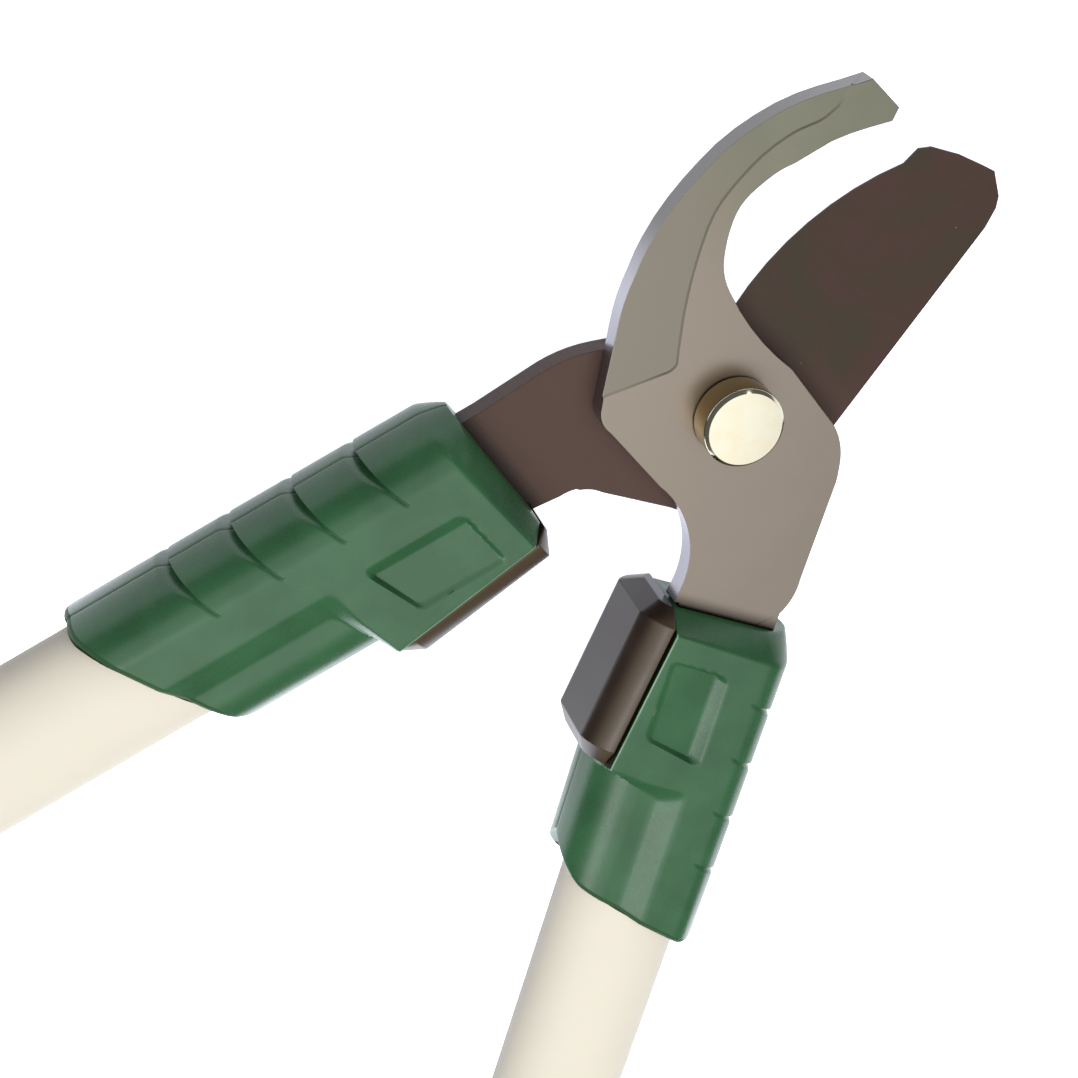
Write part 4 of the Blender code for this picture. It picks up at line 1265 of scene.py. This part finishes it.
class LOPPER_OT_tubes(bpy.types.Operator):
    """Draw the oval tubes"""

    bl_idname = "lopper.tubes"
    bl_label = "Tubes"

    def execute(self, context):
        cream = powder_coat()
        inside = -TUBE_WALL
        steps = [
            (TUBE_START + 0.3, 0.0), (TUBE_END - 0.3, 0.0), (TUBE_END, -0.3),
            (TUBE_END, inside + 0.3), (TUBE_END - 0.3, inside), (TUBE_START + 0.3, inside),
            (TUBE_START, inside + 0.3), (TUBE_START, -0.3), (TUBE_START + 0.3, 0.0)]
        for handle in HANDLES:
            draw_along(
                handle, "oval_tube", sizes().tube_sides, steps, True, cream, "tube")
        return {"FINISHED"}


def grip_wall(reach):
    """The sleeve's wall at a reach along the handle: it swells for the hand, and has ribs."""
    span = (TUBE_END - GRIP_START - 4.0) / (len(GRIP_WALLS) - 1)
    place = max((reach - GRIP_START - 4.0) / span, 0.0)
    number = min(int(place), len(GRIP_WALLS) - 2)
    wall = GRIP_WALLS[number] + (GRIP_WALLS[number + 1] - GRIP_WALLS[number]) * smooth(place - number)
    if GRIP_RIBS[0] < reach < GRIP_RIBS[1]:
        beat = ((reach - GRIP_RIBS[0]) / RIB_PITCH) % 1.0
        wall -= RIB_DEPTH * smooth(1.0 - abs(beat - 0.5) / 0.2)
    return wall


class LOPPER_OT_grips(bpy.types.Operator):
    """Mould the grip sleeves and their caps"""

    bl_idname = "lopper.grips"
    bl_label = "Grips and caps"

    def execute(self, context):
        tones = colours()
        soft = moulded_polypropylene("soft_grip_sleeve", tones.grip, linear("#28583D"), 0.6, 2.0, 0.5)
        black = moulded_polypropylene("black_polypropylene", tones.cap, linear("#262626"), 0.5)
        sleeve = [(GRIP_START, 0.9), (GRIP_START + 0.4, 1.7), (GRIP_START + 1.2, 2.2),
                  (GRIP_START + 3.0, 2.9)]
        for step in range(GRIP_STEPS + 1):
            place = GRIP_START + 4.5 + (TUBE_END - GRIP_START - 5.0) * step / GRIP_STEPS
            sleeve.append((place, grip_wall(place)))
        sleeve += [(TUBE_END, grip_wall(TUBE_END) - 0.5), (TUBE_END, 0.0), (GRIP_START, 0.0),
                   (GRIP_START, 0.9)]
        sleeve = [(place, CLEARANCE + growth) for place, growth in sleeve]

        end = TUBE_END + CLEARANCE
        rim = GRIP_WALLS[-1]
        plug = -TUBE_WALL - CLEARANCE
        cap = [(end - 14.0, plug - 0.6), (end - 13.4, plug), (end, plug), (end, rim - 0.3),
               (end + 0.3, rim)]
        for step in range(9):
            angle = math.radians(90.0 / 8 * step)
            cap.append((end + CAP_THICKNESS - CAP_ROUND * (1 - math.sin(angle)),
                        rim - CAP_ROUND * (1 - math.cos(angle))))
        cap += [(end + CAP_THICKNESS, rim - 6.0), (end + CAP_THICKNESS - 0.5, rim - 6.4)]

        for handle in HANDLES:
            draw_along(
                handle, "grip_sleeve", GRIP_SIDES, sleeve, True, soft, "grip")
            draw_along(handle, "cap", GRIP_SIDES, cap, False, black, "end_cap")
        return {"FINISHED"}


# Collar screws, driven in from behind: their places on the handle and how far they reach up,
# then the sizes that they share, and by how many degrees one is turned further than the last
SCREWS = (((53.0, 13.6), 8.8), ((76.0, 13.6), 8.8), ((103.0, 17.5), 10.6))
SCREW_FLOOR = -13.0
SCREW_SEAT = -11.0
SCREW_HEAD = 3.6
SCREW_TURN = 37.0
SCREW_RADIUS = 2.0
SINK_RADIUS = 3.9


def sink_screws(shell):
    """Sinks the seats and bores of the screws into a back shell."""
    for (u, v), _ in SCREWS:
        sink = turned("screw_sink", 48, [
            (SCREW_FLOOR, SINK_RADIUS), (SCREW_SEAT, SINK_RADIUS),
            (SCREW_SEAT, SCREW_RADIUS + CLEARANCE), (SLOT_TOP - 10.0, SCREW_RADIUS + CLEARANCE)])
        move(sink, u, v, 0.0)
        cut_with(shell, sink)


def screw_blank():
    """A pan-head screw, head down, with a cross recess pressed into its head."""
    screw = turned("screw_blank", 40, [
        (SCREW_FLOOR, SCREW_HEAD - 1.0), (SCREW_FLOOR + 0.8, SCREW_HEAD),
        (SCREW_SEAT, SCREW_HEAD), (SCREW_SEAT, SCREW_RADIUS),
        (7.6, SCREW_RADIUS), (8.8, 0.8)], 0.5)
    for degrees in (0.0, 90.0):
        bar = primitive(
            bpy.ops.mesh.primitive_cube_add, "recess_bar", size=1.0,
            location=(0.0, 0.0, SCREW_FLOOR * MM), rotation=(0.0, 0.0, math.radians(degrees)),
            scale=(4.0 * MM, 0.9 * MM, 2.8 * MM))
        edit(bar)
        choose(bar, "FACE", lambda face: face.normal.z > 0.5)
        bpy.ops.transform.resize(value=(0.6, 0.6, 1.0))
        leave()
        cut_with(screw, bar)
    return screw


class LOPPER_OT_screws(bpy.types.Operator):
    """Head the collar screws"""

    bl_idname = "lopper.screws"
    bl_label = "Collar screws"

    def execute(self, context):
        blank = screw_blank()
        finish(blank, bright_zinc())
        shade(blank)
        for handle in HANDLES:
            for number, ((u, v), reach) in enumerate(SCREWS, 1):
                screw = bpy.data.objects.new(f"{handle[1]}_screw_{number}", blank.data.copy())
                context.scene.collection.objects.link(screw)
                for corner in screw.data.vertices:
                    if corner.co.z > 0:
                        corner.co.z += (reach - SCREWS[0][1]) * MM
                turn(screw, SCREW_TURN * number)
                move(screw, u, v, 0.0)
                set_down(screw, handle, f"collar_screw_{number}")
        bpy.data.objects.remove(blank, do_unlink=True)
        return {"FINISHED"}


# The studio's dome: which way is up in it, the heights between which it brightens, and the share
# of its light that is left at its foot
DOME_UP = (0.0, -0.08, 1.0)
DOME_DIM = 0.6
DOME_BRIGHT = 0.85
DOME_FOOT = 0.12


def stand(name, data, place, angles):
    """Sets up a light or a camera in the studio."""
    made = bpy.data.objects.new(name, data)
    made.location = place
    made.rotation_euler = angles
    bpy.context.scene.collection.objects.link(made)
    return made


class LOPPER_OT_stage(bpy.types.Operator):
    """Lay the floor and set the lights and the camera"""

    bl_idname = "lopper.stage"
    bl_label = "Stage"

    def execute(self, context):
        stage = context.scene.lopper_stage
        floor = primitive(bpy.ops.mesh.primitive_plane_add, "studio_floor", size=8.0)
        made, tree, shader, place = new_material("glowing_paper_floor")
        paper = add_node(tree, "TexNoise", "Fac", {"Vector": place, "Scale": per_mm(400.0)})
        # painted light: the floor glows faintly bluish, from 1.15 up to 3.4 between -75 and -130 mm on y,
        # so it stays white in shadows and brightens reflections; it lights nothing diffusely
        feed(shader, {
            "Base Color": two_tone(tree, paper, colours().floor, linear("#D0D0D0")),
            "Roughness": 0.9, "Emission Color": linear("#F0F3FF"),
            "Emission Strength": along(tree, place, "Y", -75.0, -130.0, 1.15, 3.4)})
        finish(floor, made)
        floor.visible_diffuse = False

        world = bpy.data.worlds.new("studio_dome")
        world.use_nodes = True
        dome = world.node_tree
        height = add_node(dome, "VectorMath", "Value", {
            0: add_node(dome, "TexCoord", "Generated"), 1: DOME_UP}, operation="DOT_PRODUCT")
        feed(dome.nodes["Background"], {
            "Color": (1.0, 1.0, 1.0, 1.0),
            "Strength": add_node(dome, "MapRange", "Result", {
                "Value": height, "From Min": DOME_DIM, "From Max": DOME_BRIGHT,
                "To Min": DOME_FOOT * stage.daylight, "To Max": stage.daylight},
                interpolation_type="SMOOTHSTEP")})
        context.scene.world = world

        for name, place, size, power, tint in (
            ("key_light", (0.36, -0.3, 1.12), 0.8, stage.key, (1.0, 0.99, 0.97)),
            ("low_light", (0.0, -0.66, 0.98), 0.5, stage.low, (1.0, 1.0, 1.0)),
            ("rim_light", (-0.2, 0.87, 0.45), 0.13, stage.rim, (1.0, 1.0, 1.0)),
        ):
            lamp = bpy.data.lights.new(name, "AREA")
            lamp.shape = "DISK"
            lamp.size = size
            lamp.energy = power
            lamp.color = tint
            turned_down = (-Vector(place)).to_track_quat("-Z", "Y").to_euler()
            stand(name, lamp, place, turned_down)

        camera = bpy.data.cameras.new("photo_camera")
        camera.sensor_width = 36.0
        camera.lens = stage.lens
        camera.clip_start = 0.01
        context.scene.camera = stand(
            "photo_camera", camera, stage.camera_place, stage.camera_turn)
        context.scene.view_settings.view_transform = "Standard"
        return {"FINISHED"}


PIECE_OPERATORS = (
    LOPPER_OT_jaws, LOPPER_OT_pivot, LOPPER_OT_collars, LOPPER_OT_bumpers, LOPPER_OT_tubes,
    LOPPER_OT_grips, LOPPER_OT_screws, LOPPER_OT_stage)


class LOPPER_PT_pieces(bpy.types.Panel):
    """Lists the lopper's pieces in the sidebar"""

    bl_idname = "LOPPER_PT_pieces"
    bl_label = "Bypass lopper"
    bl_space_type = "VIEW_3D"
    bl_region_type = "UI"
    bl_category = "Lopper"

    def draw(self, context):
        for operator in PIECE_OPERATORS:
            self.layout.operator(operator.bl_idname)
        for name in GROUPS:
            group = getattr(context.scene, name)
            box = self.layout.box()
            for value in group.__annotations__:
                box.prop(group, value)


GROUPS = {
    "lopper_colours": LopperColours, "lopper_sizes": LopperSizes, "lopper_stage": LopperStage}
CLASSES = (*GROUPS.values(), *PIECE_OPERATORS, LOPPER_PT_pieces)


def register():
    for made in CLASSES:
        bpy.utils.register_class(made)
    for name, group in GROUPS.items():
        setattr(bpy.types.Scene, name, bpy.props.PointerProperty(type=group))


def unregister():
    for name in GROUPS:
        delattr(bpy.types.Scene, name)
    for made in reversed(CLASSES):
        bpy.utils.unregister_class(made)


def main():
    """Makes every piece and the stage."""
    register()
    for operator in PIECE_OPERATORS:
        group, name = operator.bl_idname.split(".")
        getattr(getattr(bpy.ops, group), name)()


if __name__ == "__main__":
    main()
